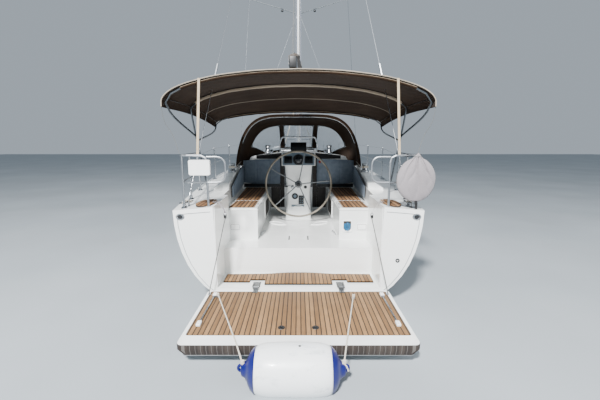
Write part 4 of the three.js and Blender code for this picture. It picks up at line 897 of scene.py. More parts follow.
def arch_at(share, half, foot, crown, square, tall):
    """The spot at a share of the way, by length, along an arch over the centreline, and the way outward."""
    key = (round(half, 4), round(foot, 4), round(crown, 4), square)
    if key not in ARCHES:
        spots = []
        for k in range(241):
            a = pi * k / 240
            c = cos(a)
            spots.append((-copysign(abs(c) ** square, c) * half, foot + sin(a) ** tall * (crown - foot)))
        runs = [0]
        for a, b in zip(spots, spots[1:]):
            runs.append(runs[-1] + dist(a, b))
        ARCHES[key] = (spots, runs)
    spots, runs = ARCHES[key]
    length = min(max(share, 0), 1) * runs[-1]
    i = next((k for k in range(1, len(runs)) if runs[k] >= length), len(runs) - 1)
    (ax, az), (bx, bz) = spots[i - 1], spots[i]
    t = (length - runs[i - 1]) / (runs[i] - runs[i - 1])
    run = dist((ax, az), (bx, bz))
    return mix(ax, bx, t), mix(az, bz, t), (-(bz - az) / run, (bx - ax) / run)


def canopy_spot(y, share, inset=0.0):
    """A place on the canopy: its hems hang straight down from the ends of the arch."""
    half, crown, corner = (read(CANOPY, k, y) for k in (1, 2, 3))
    hem = 0.012
    if share < hem or share > 1 - hem:
        side = -1 if share < 0.5 else 1
        drop = (hem - share if share < 0.5 else share - 1 + hem) / hem
        return Vector((side * (half - inset), y, corner - CANOPY_HEM * drop))
    x, z, (out_x, out_z) = arch_at((share - hem) / (1 - 2 * hem), half, corner, crown, 0.95, 1.0)
    before = next((b for b in CANOPY_BOWS[::-1] if b <= y), CANOPY_BOWS[0])
    after = next((b for b in CANOPY_BOWS if b > y), CANOPY_BOWS[-1])
    sag = sin(pi * (y - before) / (after - before)) if after > before else 0
    middle = sin(pi * share) ** 0.5
    dip = 0.011 * max(0, sag) * middle
    crease = 0.0035 * sin(9 * x + 14 * y) * sin(21 * y + 5 * abs(x)) * (1 - 0.6 * middle)
    return Vector((x, y, z)) - Vector((out_x, 0, out_z)) * (inset + dip + crease)


def band(name, y, width, inset, finish, low=0.0, high=1.0):
    """A strip of cloth sewn under the canopy from side to side."""
    return put(draped(name, 90, 2, lambda u, v: canopy_spot(y + (v - 0.5) * width, mix(low, high, u), inset), 0.0012),
               finish, 50)


def sleeve(name, y, low, high, radius):
    """A pocket of cloth that holds a bow under the canopy."""
    def place(u, v):
        share = mix(low, high, u)
        middle = canopy_spot(y, share, BOW_INSET)
        out = (canopy_spot(y, share) - canopy_spot(y, share, 0.01)).normalized()
        a = pi * (v * 1.24 - 0.12)
        wave = 1 + 0.06 * sin(60 * u + 3 * y)
        return middle + Vector((0, 1, 0)) * cos(a) * radius * 1.25 - out * sin(a) * radius * wave
    pocket = draped(name, 96, 10, place, 0.0012)
    for edge, v in (("fore", 0), ("aft", 1)):
        seam = tube(f"{name}_seam_{edge}", [place(k / 90, v) for k in range(91)], 0.0034, 6)
        put(seam, SLEEVE_CLOTH, 60)
    return put(pocket, SLEEVE_CLOTH if name.endswith("middle") else CANVAS_PAINTED_SHADE, 50)


def close_ends(piece):
    """Fills the open ends of a lofted piece."""
    everything(piece)
    bpy.ops.mesh.select_mode(type="EDGE")
    bpy.ops.mesh.select_all(action="DESELECT")
    bpy.ops.mesh.select_non_manifold()
    bpy.ops.mesh.fill_holes(sides=0)
    bpy.ops.mesh.select_mode(type="VERT")
    tidy(piece, 1e-5)


def bimini():
    cloth = draped("bimini_cloth", 120, 64, lambda u, v: canopy_spot(mix(-4.845, -2.695, v), u, 0.004))
    width = sum((canopy_spot(-3.9, (k + 1) / 60) - canopy_spot(-3.9, k / 60)).length for k in range(60))
    thicken(cloth, 0.0024)
    put(cloth, CANVAS_PAINTED_SHADE, 50)
    trims = [band("bimini_hem_aft", -4.828, 0.034, 0.0062, CANVAS_PAINTED_SHADE),
             band("bimini_hem_fore", -2.712, 0.034, 0.0062, CANVAS_PAINTED_SHADE),
             band("bimini_seam_fore", -3.24, 0.014, 0.0068, SLEEVE_CLOTH, 0.03, 0.97)]
    trims += [sleeve(f"bimini_sleeve_{name}", *sizes) for name, *sizes in (
        ("middle", -3.95, 0.06, 0.94, 0.0185), ("aft", -4.815, 0.1, 0.9, 0.0165), ("fore", -2.725, 0.1, 0.9, 0.0165))]
    for name, y in (("aft", -4.846), ("fore", -2.694)):
        edge = [canopy_spot(y, k / 110, 0.004) for k in range(111)]
        trims.append(piped(f"bimini_binding_{name}", edge, 0.0062, 8, PIPING))
    for side, share, inner in (("port", 0, 0.03), ("starboard", 1, 0.97)):
        edge = [canopy_spot(mix(-4.846, -2.694, k / 40), share, 0.004) for k in range(41)]
        trims.append(piped(f"bimini_binding_{side}", edge, 0.0055, 8, CANVAS_PAINTED_SHADE))
        seam = [canopy_spot(mix(-4.8, -2.74, k / 40), inner, 0.0075) for k in range(41)]
        trims.append(piped(f"bimini_zip_{side}", seam, 0.004, 6, BLACK))
    for k, y in enumerate((-4.42, -3.56, -3.0)):
        line = [canopy_spot(y, mix(0.03, 0.97, u / 100), -0.0002) for u in range(101)]
        trims.append(piped(f"bimini_stitching_{k}", line, 0.0016, 6, CANVAS_PAINTED_SHADE))
    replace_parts(cloth, "bimini")


def webbing(name, points, width, finish, across=(1, 0, 0)):
    """A flat strap through points, with its width along the given direction."""
    line = smoothed(points, 6)
    put(draped(name, len(line) - 1, 2, lambda u, v: line[round(u * (len(line) - 1))]
               + Vector(across).normalized() * width * (v - 0.5), 0.0018), finish, 50)


def bimini_straps():
    for side, s in SIDES:
        spots = (canopy_spot(-4.838, 0.5 + s * k / 400) for k in range(200))
        high = next(spot.z for spot in spots if abs(spot.x) >= 1.035)
        line = [(s * 1.035, -4.82, high + 0.004), (s * 1.035, -4.852, high - 0.002), (s * 1.04, -4.848, high - 0.05),
                (s * 1.085, -4.805, 2.0), (s * 1.108, -4.782, 1.752), (s * 1.11, -4.774, 1.728)]
        webbing(f"bimini_strap_{side}", line, 0.026, WEBBING)
        rear = [(s * 1.452, -4.838, 2.262), (s * 1.44, -4.8, 2.1), (s * 1.38, -4.74, 1.95), (s * 1.316, -4.755, 1.752)]
        put(tube(f"bimini_corner_line_{side}", smoothed(rear, 5), 0.003, 6), DARK_ROPE)


HOOD = [(-2.285, 1.165, 2.4), (-1.85, 1.14, 2.34), (-1.5, 1.0, 2.2), (-1.25, 0.915, 2.04), (-1.01, 0.85, 1.84)]
HOOD_FOOT = 1.44
HOOD_LEAN = 0.08
HOOD_TURN = 0.8                  # share of the way forward at which the hood's front drops to the roof
HOOD_POSTS = (0.302, 0.392)      # inner and outer edge, from the middle, of the strips between the windows
HOOD_SIDE = 0.12                 # share of the arch, from its foot, that lies outside the side windows
POST_COLUMNS = (0.385, 0.425)    # and the strips' columns, as shares of the way across
# Half breadth and height of what the hood's front comes down on: the garage's top, its side and the roof beside it.
ROOF_UNDER_HOOD = [(0, 1.803), (0.37, 1.778), (0.398, 1.776), (0.425, 1.69), (1.2, 1.67)]


def hood_share(u, y):
    """Share of the arch for a column, so that the strips between the windows run straight fore and aft."""
    if u > 0.5:
        return 1 - hood_share(1 - u, y)
    half, crown = read(HOOD, 1, y), read(HOOD, 2, y)
    marks = []
    for target in (HOOD_POSTS[1], HOOD_POSTS[0]):
        key = (round(half, 4), round(crown, 4), target)
        if key not in ARCHES:
            left, right = 0.05, 0.5
            for _ in range(24):
                middle = (left + right) / 2
                x, z, _out = arch_at(middle, half, HOOD_FOOT, crown, 0.42, 0.85)
                x *= 1 - HOOD_LEAN * (z - HOOD_FOOT) / (crown - HOOD_FOOT)
                left, right = (middle, right) if -x > target else (left, middle)
            ARCHES[key] = left
        marks.append(ARCHES[key])
    knots = [(0, 0), (HOOD_SIDE, HOOD_SIDE), (POST_COLUMNS[0], marks[0]), (POST_COLUMNS[1], marks[1]), (0.5, 0.5)]
    return read(knots, 1, u)


def hood_spot(u, v, inset=0.0):
    """A place on the sprayhood: u from foot to foot, v from the after edge to the roof in front."""
    y = mix(-2.283, -1.012, min(v / HOOD_TURN, 1))
    half, crown = read(HOOD, 1, y), read(HOOD, 2, y)
    x, z, (out_x, out_z) = arch_at(hood_share(u, y), half, HOOD_FOOT, crown, 0.42, 0.85)
    x *= 1 - HOOD_LEAN * (z - HOOD_FOOT) / (crown - HOOD_FOOT)
    sag = 0.008 * sin(pi * min(v / 0.4, 1)) * sin(pi * u)
    ripple = 0.0025 * sin(24 * u + 9 * v) * sin(17 * v + 3)
    front = max(0, (v - HOOD_TURN) / (1 - HOOD_TURN))
    base = read(ROOF_UNDER_HOOD, 1, abs(x))
    spot = Vector((x, y, z)) - Vector((out_x, 0, out_z)) * (inset + sag + ripple)
    if front:
        spot.z = mix(spot.z, min(base, spot.z), front)
        spot.y = -1.012 - inset
    return spot


HOOD_WINDOWS = {"centre": (0.425, 0.575, 0.43, 0.93), "port": (0.12, 0.385, 0.43, 0.93),
                "starboard": (0.615, 0.88, 0.43, 0.93)}


def sprayhood():
    columns, rows = 200, 100
    cloth = draped("sprayhood_cloth", columns, rows, lambda u, v: hood_spot(u, v, 0.006))
    doomed = set()
    for face in cloth.data.polygons:
        u = sum(i % (columns + 1) for i in face.vertices) / 4 / columns
        v = sum(i // (columns + 1) for i in face.vertices) / 4 / rows
        for u0, u1, v0, v1 in HOOD_WINDOWS.values():
            if u0 < u < u1 and v0 < v < v1:
                corner_u = max(u0 + 0.03 - u, u - u1 + 0.03, 0)
                corner_v = max(v0 + 0.03 - v, v - v1 + 0.03, 0)
                if hypot(corner_u, corner_v) < 0.03:
                    doomed.add(face.index)
    choose(cloth, lambda middle, normal: False)
    mesh = bmesh.from_edit_mesh(cloth.data)
    for face in mesh.faces:
        face.select_set(face.index in doomed)
    bmesh.update_edit_mesh(cloth.data)
    bpy.ops.mesh.delete(type="FACE")
    free()
    width = sum((hood_spot((k + 1) / 60, 0.2) - hood_spot(k / 60, 0.2)).length for k in range(60))
    thicken(cloth, 0.0024)
    put(cloth, CANVAS_PAINTED_SHADE, 50)
    for name, window in HOOD_WINDOWS.items():
        u0, u1, v0, v1 = window
        film = draped(f"sprayhood_window_{name}", 30, 30,
                      lambda u, v: hood_spot(mix(u0 - 0.004, u1 + 0.004, u), mix(v0 - 0.006, v1 + 0.006, v), 0.0085),
                      0.0008)
        put(film, FILM, 60)
        dense = []
        spots = rounded(u0, u1, v0, v1, 0.03, 6)
        for (ua, va), (ub, vb) in zip(spots, spots[1:] + spots[:1]):
            steps = max(1, int(hypot(ub - ua, vb - va) / 0.012))
            dense += [hood_spot(mix(ua, ub, k / steps), mix(va, vb, k / steps), 0.006) for k in range(steps)]
        piped(f"sprayhood_window_edge_{name}", dense, 0.0075, 6, CANVAS_PAINTED_SHADE, closed=True)
    for name, v, radius in (("aft", 0.0, 0.0085), ("bow_fore", 0.4, 0.006)):
        edge = [hood_spot(k / 120, v, 0.006) for k in range(121)]
        piped(f"sprayhood_edge_{name}", edge, radius, 8, CANVAS_PAINTED_SHADE)
    for k, u in enumerate((0.4, 0.6)):
        seam = [hood_spot(u, 0.02 + 0.38 * i / 20, 0.0042) for i in range(21)]
        piped(f"sprayhood_seam_{k}", seam, 0.003, 6, SLEEVE_CLOTH)
    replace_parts(cloth, "sprayhood")
    rail = [hood_spot(k / 40, 0.022, 0.041) for k in range(5, 36)]
    piped("sprayhood_grab_rail", rail, 0.009, 10, STEEL)


BUOY = Vector((1.285, -4.836, 1.5))
BUOY_HALF, BUOY_RISE, BUOY_DEEP = 0.21, 0.268, 0.058


def buoy_spot(around, height, out=0.0):
    """A place on the buoy's cover: a round bag drawn up to a point, with creases that run down from that point."""
    s = sin(height)
    body = max(0, 1 - ((s + 0.1) / 0.9) ** 2) ** 0.5
    peak = 1.19 * max(0, 1 - s) * min(1, max(0, (s - 0.55) / 0.2))
    full = max(body, peak)
    lean = 0.03 * max(0, s - 0.6)
    side = (BUOY_HALF + out) * full * cos(around)
    deep = (BUOY_DEEP + out) * full ** 0.62
    away = hypot(side, BUOY_RISE * (1 - s))
    spread = atan2(side, BUOY_RISE * (1.04 - s))
    wander = 0.25 * sin(2.2 * spread + 5 * s)
    creases = (1 - abs(sin(6.5 * spread + wander))) ** 2
    creases += 0.6 * (1 - abs(sin(5.3 * spread + 1.1 - 2 * wander))) ** 3
    drawn = min(1, away / 0.05) * (0.2 + 0.8 * exp(-((away / 0.34) ** 2)))
    pulled = 0.03 * creases * drawn * min(1, full * 3)
    return BUOY + Vector((side + lean, (deep - pulled) * sin(around), BUOY_RISE * s))


def horseshoe():
    """Horseshoe buoy in a closed grey cover, gathered at the top by a draw cord and piped down its sides."""
    cover = draped("horseshoe_cover", 220, 110, lambda u, v: buoy_spot(TAU * u, mix(-1.545, 1.545, v)))
    tidy(cover, 2e-4)
    close_ends(cover)
    put(cover, GREY_CLOTH, 60, slot="buoy_cover")
    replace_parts(cover, "lifebuoy")
    for name, a in (("outer", 0.0), ("inner", pi)):
        line = [buoy_spot(a, mix(-1.45, 1.5, k / 60), 0.0012) for k in range(61)]
        piped(f"horseshoe_piping_{name}", line, 0.0026, 6, DARK_ROPE, slot="buoy_cover")
    hem = [buoy_spot(TAU * k / 72, -1.18 + 0.02 * sin(5 * TAU * k / 72), 0.001) for k in range(72)]
    piped("horseshoe_hem", hem, 0.003, 6, GREY_CLOTH, closed=True, slot="buoy_cover")
    neck = [buoy_spot(TAU * k / 36, 1.0, 0.002) for k in range(36)]
    piped("horseshoe_draw_cord", neck, 0.0035, 8, DARK_ROPE, closed=True, slot="buoy_cover")
    for k, (x, turn) in enumerate(((1.2, 0.5), (1.34, 0.35))):
        top = buoy_spot(turn * pi, 0.98)
        line = [top, top + Vector((0, 0.008, 0.03)), (x, -4.79, 1.749), (x, -4.768, 1.751), (x, -4.757, 1.735),
                (x, -4.768, 1.719)]
        webbing(f"horseshoe_strap_{k}", line, 0.022, BLACK_WEBBING)
    low = buoy_spot(1.5 * pi, -1.35)
    lashing = [low + Vector((0.004, -0.002, 0.03)), low + Vector((0.006, -0.006, -0.012)), (1.302, -4.838, 1.2),
               (1.305, -4.832, deck_height(1.305, -4.832) + 0.002)]
    webbing("horseshoe_lashing", lashing, 0.03, BLACK_WEBBING)


BOOM_ROOT = Vector((0, 0.832, 2.87))
BOOM_SWING = -0.0175
BOOM_RISE = 0.027


def on_boom(along, across, up):
    """A place by the boom: along it from the gooseneck, across it, and above its axis."""
    y = -along
    c, s = cos(BOOM_SWING), sin(BOOM_SWING)
    return BOOM_ROOT + Vector((across * c - y * s, across * s + y * c, along * BOOM_RISE + up))


SAIL_ROWS = [(0.15, 0.095, 0.43), (0.5, 0.135, 0.44), (1.6, 0.15, 0.36), (2.9, 0.13, 0.27), (4.0, 0.085, 0.15),
             (4.18, 0.05, 0.08)]


def bag_width(a):
    """Share of the bag's half width at an angle round its section: flat sides, drawn in towards the ridge."""
    c, s = cos(a), sin(a)
    wide = copysign(abs(c) ** 0.8, c) * (0.62 + 0.38 * max(0, s + 0.55))
    return wide * (1 - 0.75 * (max(0, s - 0.55) / 0.45) ** 1.3)


def bag_sway(along):
    return 0.014 * sin(5.2 * along) + 0.006 * sin(13 * along)


def sail_bag():
    """The cover as a closed bag: a loft of rings along the boom, flat below."""
    def place(u, v):
        along = mix(0.15, 4.18, v)
        half, high = read(SAIL_ROWS, 1, along), read(SAIL_ROWS, 2, along)
        a = TAU * u
        fold = 1 + 0.045 * sin(11 * along + 5 * cos(a)) * sin(6 * along + 2 * sin(a))
        up = high * (0.5 + 0.5 * sin(a)) * (1 + 0.02 * sin(8 * along))
        end = min(1, min(v, 1 - v) / 0.012 + 0.02)
        across = bag_width(a) * half * fold + bag_sway(along) * max(0, sin(a))
        return on_boom(along, across * end, 0.09 + mix(high * 0.4, up, end))
    bag = draped("sail_cover_cloth", 40, 150, place)
    tidy(bag, 1e-4)
    close_ends(bag)
    put(bag, COVER_CLOTH, 60, body="boom")
    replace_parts(bag, "sail_cover")
    ridge = []
    for k in range(80):
        along = mix(0.2, 4.12, k / 79)
        up = 0.089 + read(SAIL_ROWS, 2, along) * (1 + 0.02 * sin(8 * along))
        ridge.append(on_boom(along, bag_sway(along), up))
    piped("sail_cover_zip", ridge, 0.0055, 6, BLACK, body="boom")
    for k, along in enumerate((0.55, 1.25, 1.95, 2.65, 3.35, 3.9)):
        half, high = read(SAIL_ROWS, 1, along), read(SAIL_ROWS, 2, along)
        loop = []
        for i in range(41):
            a = pi * (1.5 + 2 * i / 40)
            up = (0.09 if sin(a) > -0.98 else 0.088) + high * (0.5 + 0.5 * sin(a)) * 1.02
            loop.append(on_boom(along, bag_width(a) * half * 1.05, up))
        strap = draped(f"sail_tie_{k}", 40, 1, lambda u, v: loop[round(u * 40)] + Vector((0, (v - 0.5) * 0.025, 0)),
                       0.002, 1)
        put(strap, SLEEVE_CLOTH, 50, body="boom", slot="sail_cover")


STAY_FOOT = Vector((0, 4.79, 1.64))
STAY_HEAD = Vector((0, 1.075, 14.35))
ROLL = [(0.0365, 0.044), (0.06, 0.062), (0.35, 0.06), (0.75, 0.042), (0.93, 0.024)]


def furled_genoa():
    """The headsail rolled round its stay, its sun strip winding up it, each turn's edge standing proud."""
    def spot(share, angle, radius):
        here = STAY_FOOT.lerp(STAY_HEAD, share)
        return here + Vector((radius * cos(angle), radius * sin(angle), 0))

    def place(u, v):
        share = mix(0.0375, 0.929, v)
        radius = read(ROLL, 1, share) * 0.965
        wrap = (u + share * 9) % 1
        return spot(share, TAU * u, radius * (0.97 + 0.07 * wrap ** 2) * (1 + 0.012 * sin(60 * share + TAU * u)))
    roll = draped("genoa_roll", 24, 420, place)
    tidy(roll, 1e-4)
    close_ends(roll)
    put(roll, SAILCLOTH, 50)
    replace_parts(roll, "furled_genoa")
    strip = draped("genoa_sun_strip", 4, 420, lambda u, v: spot(
        mix(0.038, 0.9, v), TAU * ((0.93 - 0.5 * u) - mix(0.038, 0.9, v) * 9),
        read(ROLL, 1, mix(0.038, 0.9, v)) * 1.03 + 0.0008), 0.0012)
    put(strip, GREY_CLOTH, 50, slot="sailcloth")
    clew = STAY_FOOT.lerp(STAY_HEAD, 0.11) + Vector((0, -0.06, 0))
    ring = [clew + Vector((0, 0.016 * cos(a), 0.016 * sin(a))) for a in angles(16)]
    piped("genoa_clew_ring", ring, 0.004, 8, STEEL, closed=True)
    foil = tube("forestay_foil", [STAY_FOOT.lerp(STAY_HEAD, k) for k in (0.9285, 0.985)], 0.0135, 12)
    put(foil, MAST_METAL, 50)


bimini()
bimini_straps()
sprayhood()
horseshoe()
sail_bag()
furled_genoa()


# Cockpit: wheel, pedestal, instruments, winches, panels and the companionway.
WHEEL = Vector((0, -3.047, 1.214))
SPOKES = (6.5, 78.5, 150.5, 222.5, 294.5)


def around(centre, radius, angle, y=0.0):
    return centre + Vector((radius * cos(angle), y, radius * sin(angle)))


def spindle(name, start, end, profile, sides=14):
    """A turned piece along a line: profile pairs a share of the way with a radius."""
    start, end = Vector(start), Vector(end)
    ahead = (end - start).normalized()
    across = ahead.orthogonal().normalized()
    other = ahead.cross(across)
    last = len(profile) - 1

    def place(u, v):
        share, radius = profile[round(v * last)]
        return start.lerp(end, share) + (across * cos(TAU * u) + other * sin(TAU * u)) * max(radius, 1e-5)
    piece = draped(name, sides, last, place)
    tidy(piece, 2e-5)
    return piece


def steering_wheel():
    rim = tube("wheel_rim", [around(WHEEL, 0.535, TAU * k / 144) for k in range(144)], 0.0158, 14, closed=True)
    put(rim, LEATHER, 60, body="wheel")
    seam = [around(WHEEL, 0.535 - 0.0157 * cos(0.35 * sin(TAU * k / 3)), TAU * k / 288, 0)
            for k in range(288)]
    piped("wheel_stitching", seam, 0.0009, 5, DARK_ROPE, closed=True, body="wheel", slot="stainless")
    spokes = []
    for k, degrees in enumerate(SPOKES):
        a = radians(degrees)
        spokes.append(tube(f"spoke_{k}", [around(WHEEL, r, a, 0.022 * (1 - (r / 0.535) ** 2)) for r in
                                          [0.045 + 0.475 * i / 8 for i in range(9)]], 0.0086, 12))
    hub = turned("hub", [(0, 0.042), (0.018, 0.042), (0.022, 0.038), (0.024, 0.03), (0.05, 0.028), (0.06, 0.02),
                         (0.0615, 0.0), (0.058, -0.022), (0.04, -0.028), (0, -0.028)], WHEEL, "-y", 40)
    wheel = put(joined("wheel_frame", [*spokes, hub]), HINGE_STEEL, 40, body="wheel")
    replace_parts(wheel, "steering_wheel")
    put(turned("hub_lock", [(0, 0.066), (0.026, 0.065), (0.034, 0.058), (0.036, 0.044), (0.03, 0.036), (0, 0.036)],
               WHEEL, "-y", 32), BLACK, 40, body="wheel")
    put(turned("king_spoke_wrap", [(0.0095, -0.02), (0.0165, -0.018), (0.0165, 0.018), (0.0095, 0.02)],
               around(WHEEL, 0.535, radians(78.5)), "y", 20), DARK_ROPE, 50, body="wheel", slot="stainless")


def screen(name, centre, width, height, lean, foot=0.012):
    """A display: a black case with rounded corners, its glass sunk in a bevelled frame above a foot of keys."""
    x, y, z = centre
    case = slab(name, (x - width / 2, y - 0.006, z - height / 2), (x + width / 2, y + 0.006, z + height / 2), 0.005, 3)
    sunk(case, (0, -1, 0), 0.007, -0.002)
    put(swung(case, lean, centre), BLACK)
    glass = slab(name + "_glass", (x - width / 2 + 0.012, y - 0.0064, z - height / 2 + foot),
                 (x + width / 2 - 0.012, y, z + height / 2 - 0.012), 0.0015)
    put(swung(glass, lean, centre), GLASS)


POD_AFT = ((-2.838, 1.505), (-2.778, 1.728))
PLOTTER_AFT = ((-2.752, 1.735), (-2.715, 1.898))


def on_pod(share, x, out=0.0):
    (y0, z0), (y1, z1) = POD_AFT
    run = dist(*POD_AFT)
    return Vector((x, mix(y0, y1, share) - (z1 - z0) / run * out, mix(z0, z1, share) + (y1 - y0) / run * out))


def pod():
    """Grey panel with two displays and a compass, and the plotter above. All is modelled upright, then leant back."""
    lean = -atan2(POD_AFT[1][0] - POD_AFT[0][0], POD_AFT[1][1] - POD_AFT[0][1])
    face = slab("pod_panel", (-0.272, -0.003, -0.106), (0.272, 0.003, 0.106), 0.0025, 3)
    sunk(face, (0, -1, 0), 0.008, -0.0015)
    put(moved(swung(face, lean), on_pod(0.5, 0, 0.003)), GREY_PANEL)
    for side, s in SIDES:
        screen(f"pod_display_{side}", on_pod(0.44, s * 0.174, 0.009), 0.138, 0.128, lean)
        for k in range(4):
            x = s * 0.168 + 0.026 * k
            button = slab("button", (x - 0.045, -0.003, -0.004), (x - 0.033, 0.003, 0.004), 0.0015)
            put(moved(swung(button, lean), on_pod(0.085, 0, 0.006)), GREY_CLOTH, slot="grey_panel")
    ring = [(0.07, 0.002), (0.075, 0.013), (0.085, 0.014), (0.093, 0.007), (0.093, -0.002)]
    card = [(0, 0.014), (0.026, 0.013), (0.044, 0.007), (0.06, 0.001), (0.068, -0.001)]
    dome = [(0, 0.042), (0.023, 0.04), (0.044, 0.033), (0.061, 0.02), (0.071, 0.004)]
    parts = [(turned(f"compass_{name}", profile, (0, 0, 0), "-y", 48), finish)
             for name, profile, finish in (("ring", ring, BLACK), ("card", card, BLACK), ("dome", dome, SMOKED))]
    for piece, finish in parts:
        put(moved(swung(piece, lean), on_pod(0.44, 0, 0.006)), finish, 50)
    (y0, z0), (y1, z1) = PLOTTER_AFT
    slope = -atan2(y1 - y0, z1 - z0)
    middle = Vector((0, mix(y0, y1, 0.5) - 0.004, mix(z0, z1, 0.5)))
    screen("plotter_face", middle, 0.272, 0.16, slope, 0.034)
    for k in range(7):
        x = 0.0125 * (2 * k - 6)
        key = slab("key", (x - 0.006, -0.004, -0.069), (x + 0.006, 0.004, -0.061), 0.002)
        put(moved(swung(key, slope), middle + Vector((0, -0.0045, 0))), GREY_PANEL)


PEDESTAL = [(0.567, -2.77), (0.7, -2.752), (0.9, -2.738), (1.06, -2.738), (1.3, -2.755), (1.505, -2.785)]


def pedestal_face(z):
    return read(PEDESTAL, 1, z)


def pedestal_fittings():
    at, r = (-0.062, pedestal_face(0.97) - 0.003, 0.97), 0.056
    put(turned("pedestal_dial", [(0, 0.001), (r * 0.78, 0.001), (r * 0.84, 0.007), (r * 0.96, 0.007), (r, 0.004),
                                 (r, -0.004)], at, "-y", 40), BLACK, 40)
    card = [(0, 0.0032), (0.02, 0.0034), (0.025, 0.003), (0.028, 0.0012)]
    put(turned("pedestal_dial_card", card, at, "-y", 32), GREY_PANEL, 40)
    y = pedestal_face(0.875)
    box = slab("pedestal_switch_box", (0.002, y - 0.02, 0.83), (0.092, y + 0.01, 0.982), 0.006, 3)
    sunk(box, (0, -1, 0), 0.006, -0.003)
    put(box, BLACK)
    knobs = [turned("knob", [(0, 0.012), (0.007, 0.011), (0.0085, 0.004), (0.0095, 0)], (x, y - 0.017, z), "-y", 16)
             for x in (0.027, 0.067) for z in (0.86, 0.9, 0.948)]
    put(joined("pedestal_switch_knobs", knobs), GREY_PANEL, 40)
    y = pedestal_face(0.8)
    put(slab("pedestal_grey_strip", (-0.124, y - 0.006, 0.784), (0.1, y + 0.006, 0.818), 0.003), GREY_PANEL)
    seam = [(x, pedestal_face(z) - 0.0005, z) for x, z in rounded(-0.185, 0.185, 1.32, 1.47, 0.03)]
    piped("pedestal_head_seam", seam, 0.003, 6, GELCOAT, closed=True)
    at = Vector((-0.1, pedestal_face(1.13), 1.13))
    boss = turned("throttle_boss", [(0, 0.016), (0.012, 0.016), (0.02, 0.012), (0.034, 0.004), (0.036, -0.004)], at,
                  "-y", 28)
    arm = [at + Vector(p) for p in ((0, -0.012, 0), (-0.012, -0.034, 0.018), (-0.045, -0.05, 0.034),
                                    (-0.082, -0.056, 0.026))]
    put(joined("throttle", [boss, tube("throttle_lever", smoothed(arm, 6), 0.0075, 12)]), STEEL, 45)
    put(spindle("throttle_grip", arm[3], arm[3] + Vector((-0.03, -0.004, -0.016)),
                [(0, 0), (0, 0.01), (0.3, 0.0145), (0.8, 0.014), (1, 0.009), (1, 0)], 20), BLACK, 45)
    put(turned("brake_boss", [(0, 0.03), (0.014, 0.029), (0.019, 0.022), (0.019, 0.006), (0.028, 0.003),
                              (0.029, -0.004)], (0.12, pedestal_face(1.13), 1.13), "-y", 28), BLACK, 45)
    y = pedestal_face(0.76) - 0.005
    oval = [(0.115 * cos(a), y, 0.74 + 0.06 * sin(a)) for a in angles(48)]
    piped("pedestal_moulding", oval, 0.005, 8, GELCOAT, closed=True)
    grip = [(-0.2, -2.62, 1.725), (-0.31, -2.65, 1.735), (-0.33, -2.7, 1.84), (-0.28, -2.72, 1.985)]
    piped("pod_grab_rail", bent(grip + [(-x, y, z) for x, y, z in grip[::-1]], 0.04), 0.0125, 14, STEEL)
    for side, s in SIDES:
        foot = [(0, 0.004), (0.02, 0.004), (0.03, 0.001), (0.03, -0.003)]
        put(turned(f"pedestal_foot_{side}", foot, (s * 0.17, -2.6, 0.569)), STEEL)


def winch(name, x, y, z):
    """Self-tailing winch: flared base, waisted drum with grip ribs, ribbed jaws, feeder arm and handle socket."""
    at = (x, y, z)
    parts = [turned("drum", [(0, 0.156), (0.012, 0.156), (0.013, 0.146), (0.024, 0.146), (0.03, 0.152), (0.056, 0.150),
                           (0.0605, 0.144), (0.058, 0.137), (0.035, 0.134), (0.035, 0.127), (0.058, 0.124),
                           (0.0605, 0.118), (0.057, 0.112), (0.046, 0.108), (0.0445, 0.085), (0.0455, 0.062),
                           (0.052, 0.042), (0.058, 0.036), (0.0595, 0.031), (0.0575, 0.029), (0.0575, 0.024),
                           (0.066, 0.021), (0.0715, 0.014), (0.072, 0.0)], at, "z", 56)]
    for a in angles(18):
        rib = [(x + cos(a) * r, y + sin(a) * r, z + h) for r, h in ((0.0462, 0.056), (0.0452, 0.08),
                                                                              (0.0462, 0.105))]
        parts.append(tube("rib", rib, 0.0016, 6))
    put(joined(name, parts), STEEL, 40)
    arm = tube(name + "_feeder", [(x, y + 0.036, z + 0.151), (x + 0.01, y + 0.058, z + 0.149),
                                  (x + 0.012, y + 0.066, z + 0.133), (x + 0.004, y + 0.058, z + 0.118)], 0.0055, 10)
    put(arm, STEEL, 50)
    teeth = [slab("tooth", (x + 0.036, y - 0.0022, z + 0.1275), (x + 0.057, y + 0.0022, z + 0.1335), 0.0008, 1)
             for k in range(20)]
    for tooth, a in zip(teeth, angles(20)):
        swung(tooth, -a, at, "Z")
    put(joined(name + "_jaws", teeth), BLACK)


def rope_turns(name, x, y, z, tail):
    """Three turns of line round a drum, and its tail."""
    radius, rope = 0.0515, 0.0055
    line = []
    for k in range(3 * 24):
        a = TAU * k / 24
        line.append((x + radius * cos(a), y + radius * sin(a), z + rope * 2.1 * a / TAU))
    piped(name, tail + line, rope, 8, ROPE)


def padded_panel(name, corners, low, high, finish, slot=None):
    """A panel with rounded edges on an upright face: corners is its outline in X and Z, low and high are its faces."""
    flat = drawn_out(outline_face(name, [(x, low, z) for x, z in corners]), (0, high - low, 0))
    modify(flat, "BEVEL", width=min(0.012, abs(high - low) * 0.45), segments=3, limit_method="ANGLE", angle_limit=0.6)
    put(flat, finish, 40, slot=slot)


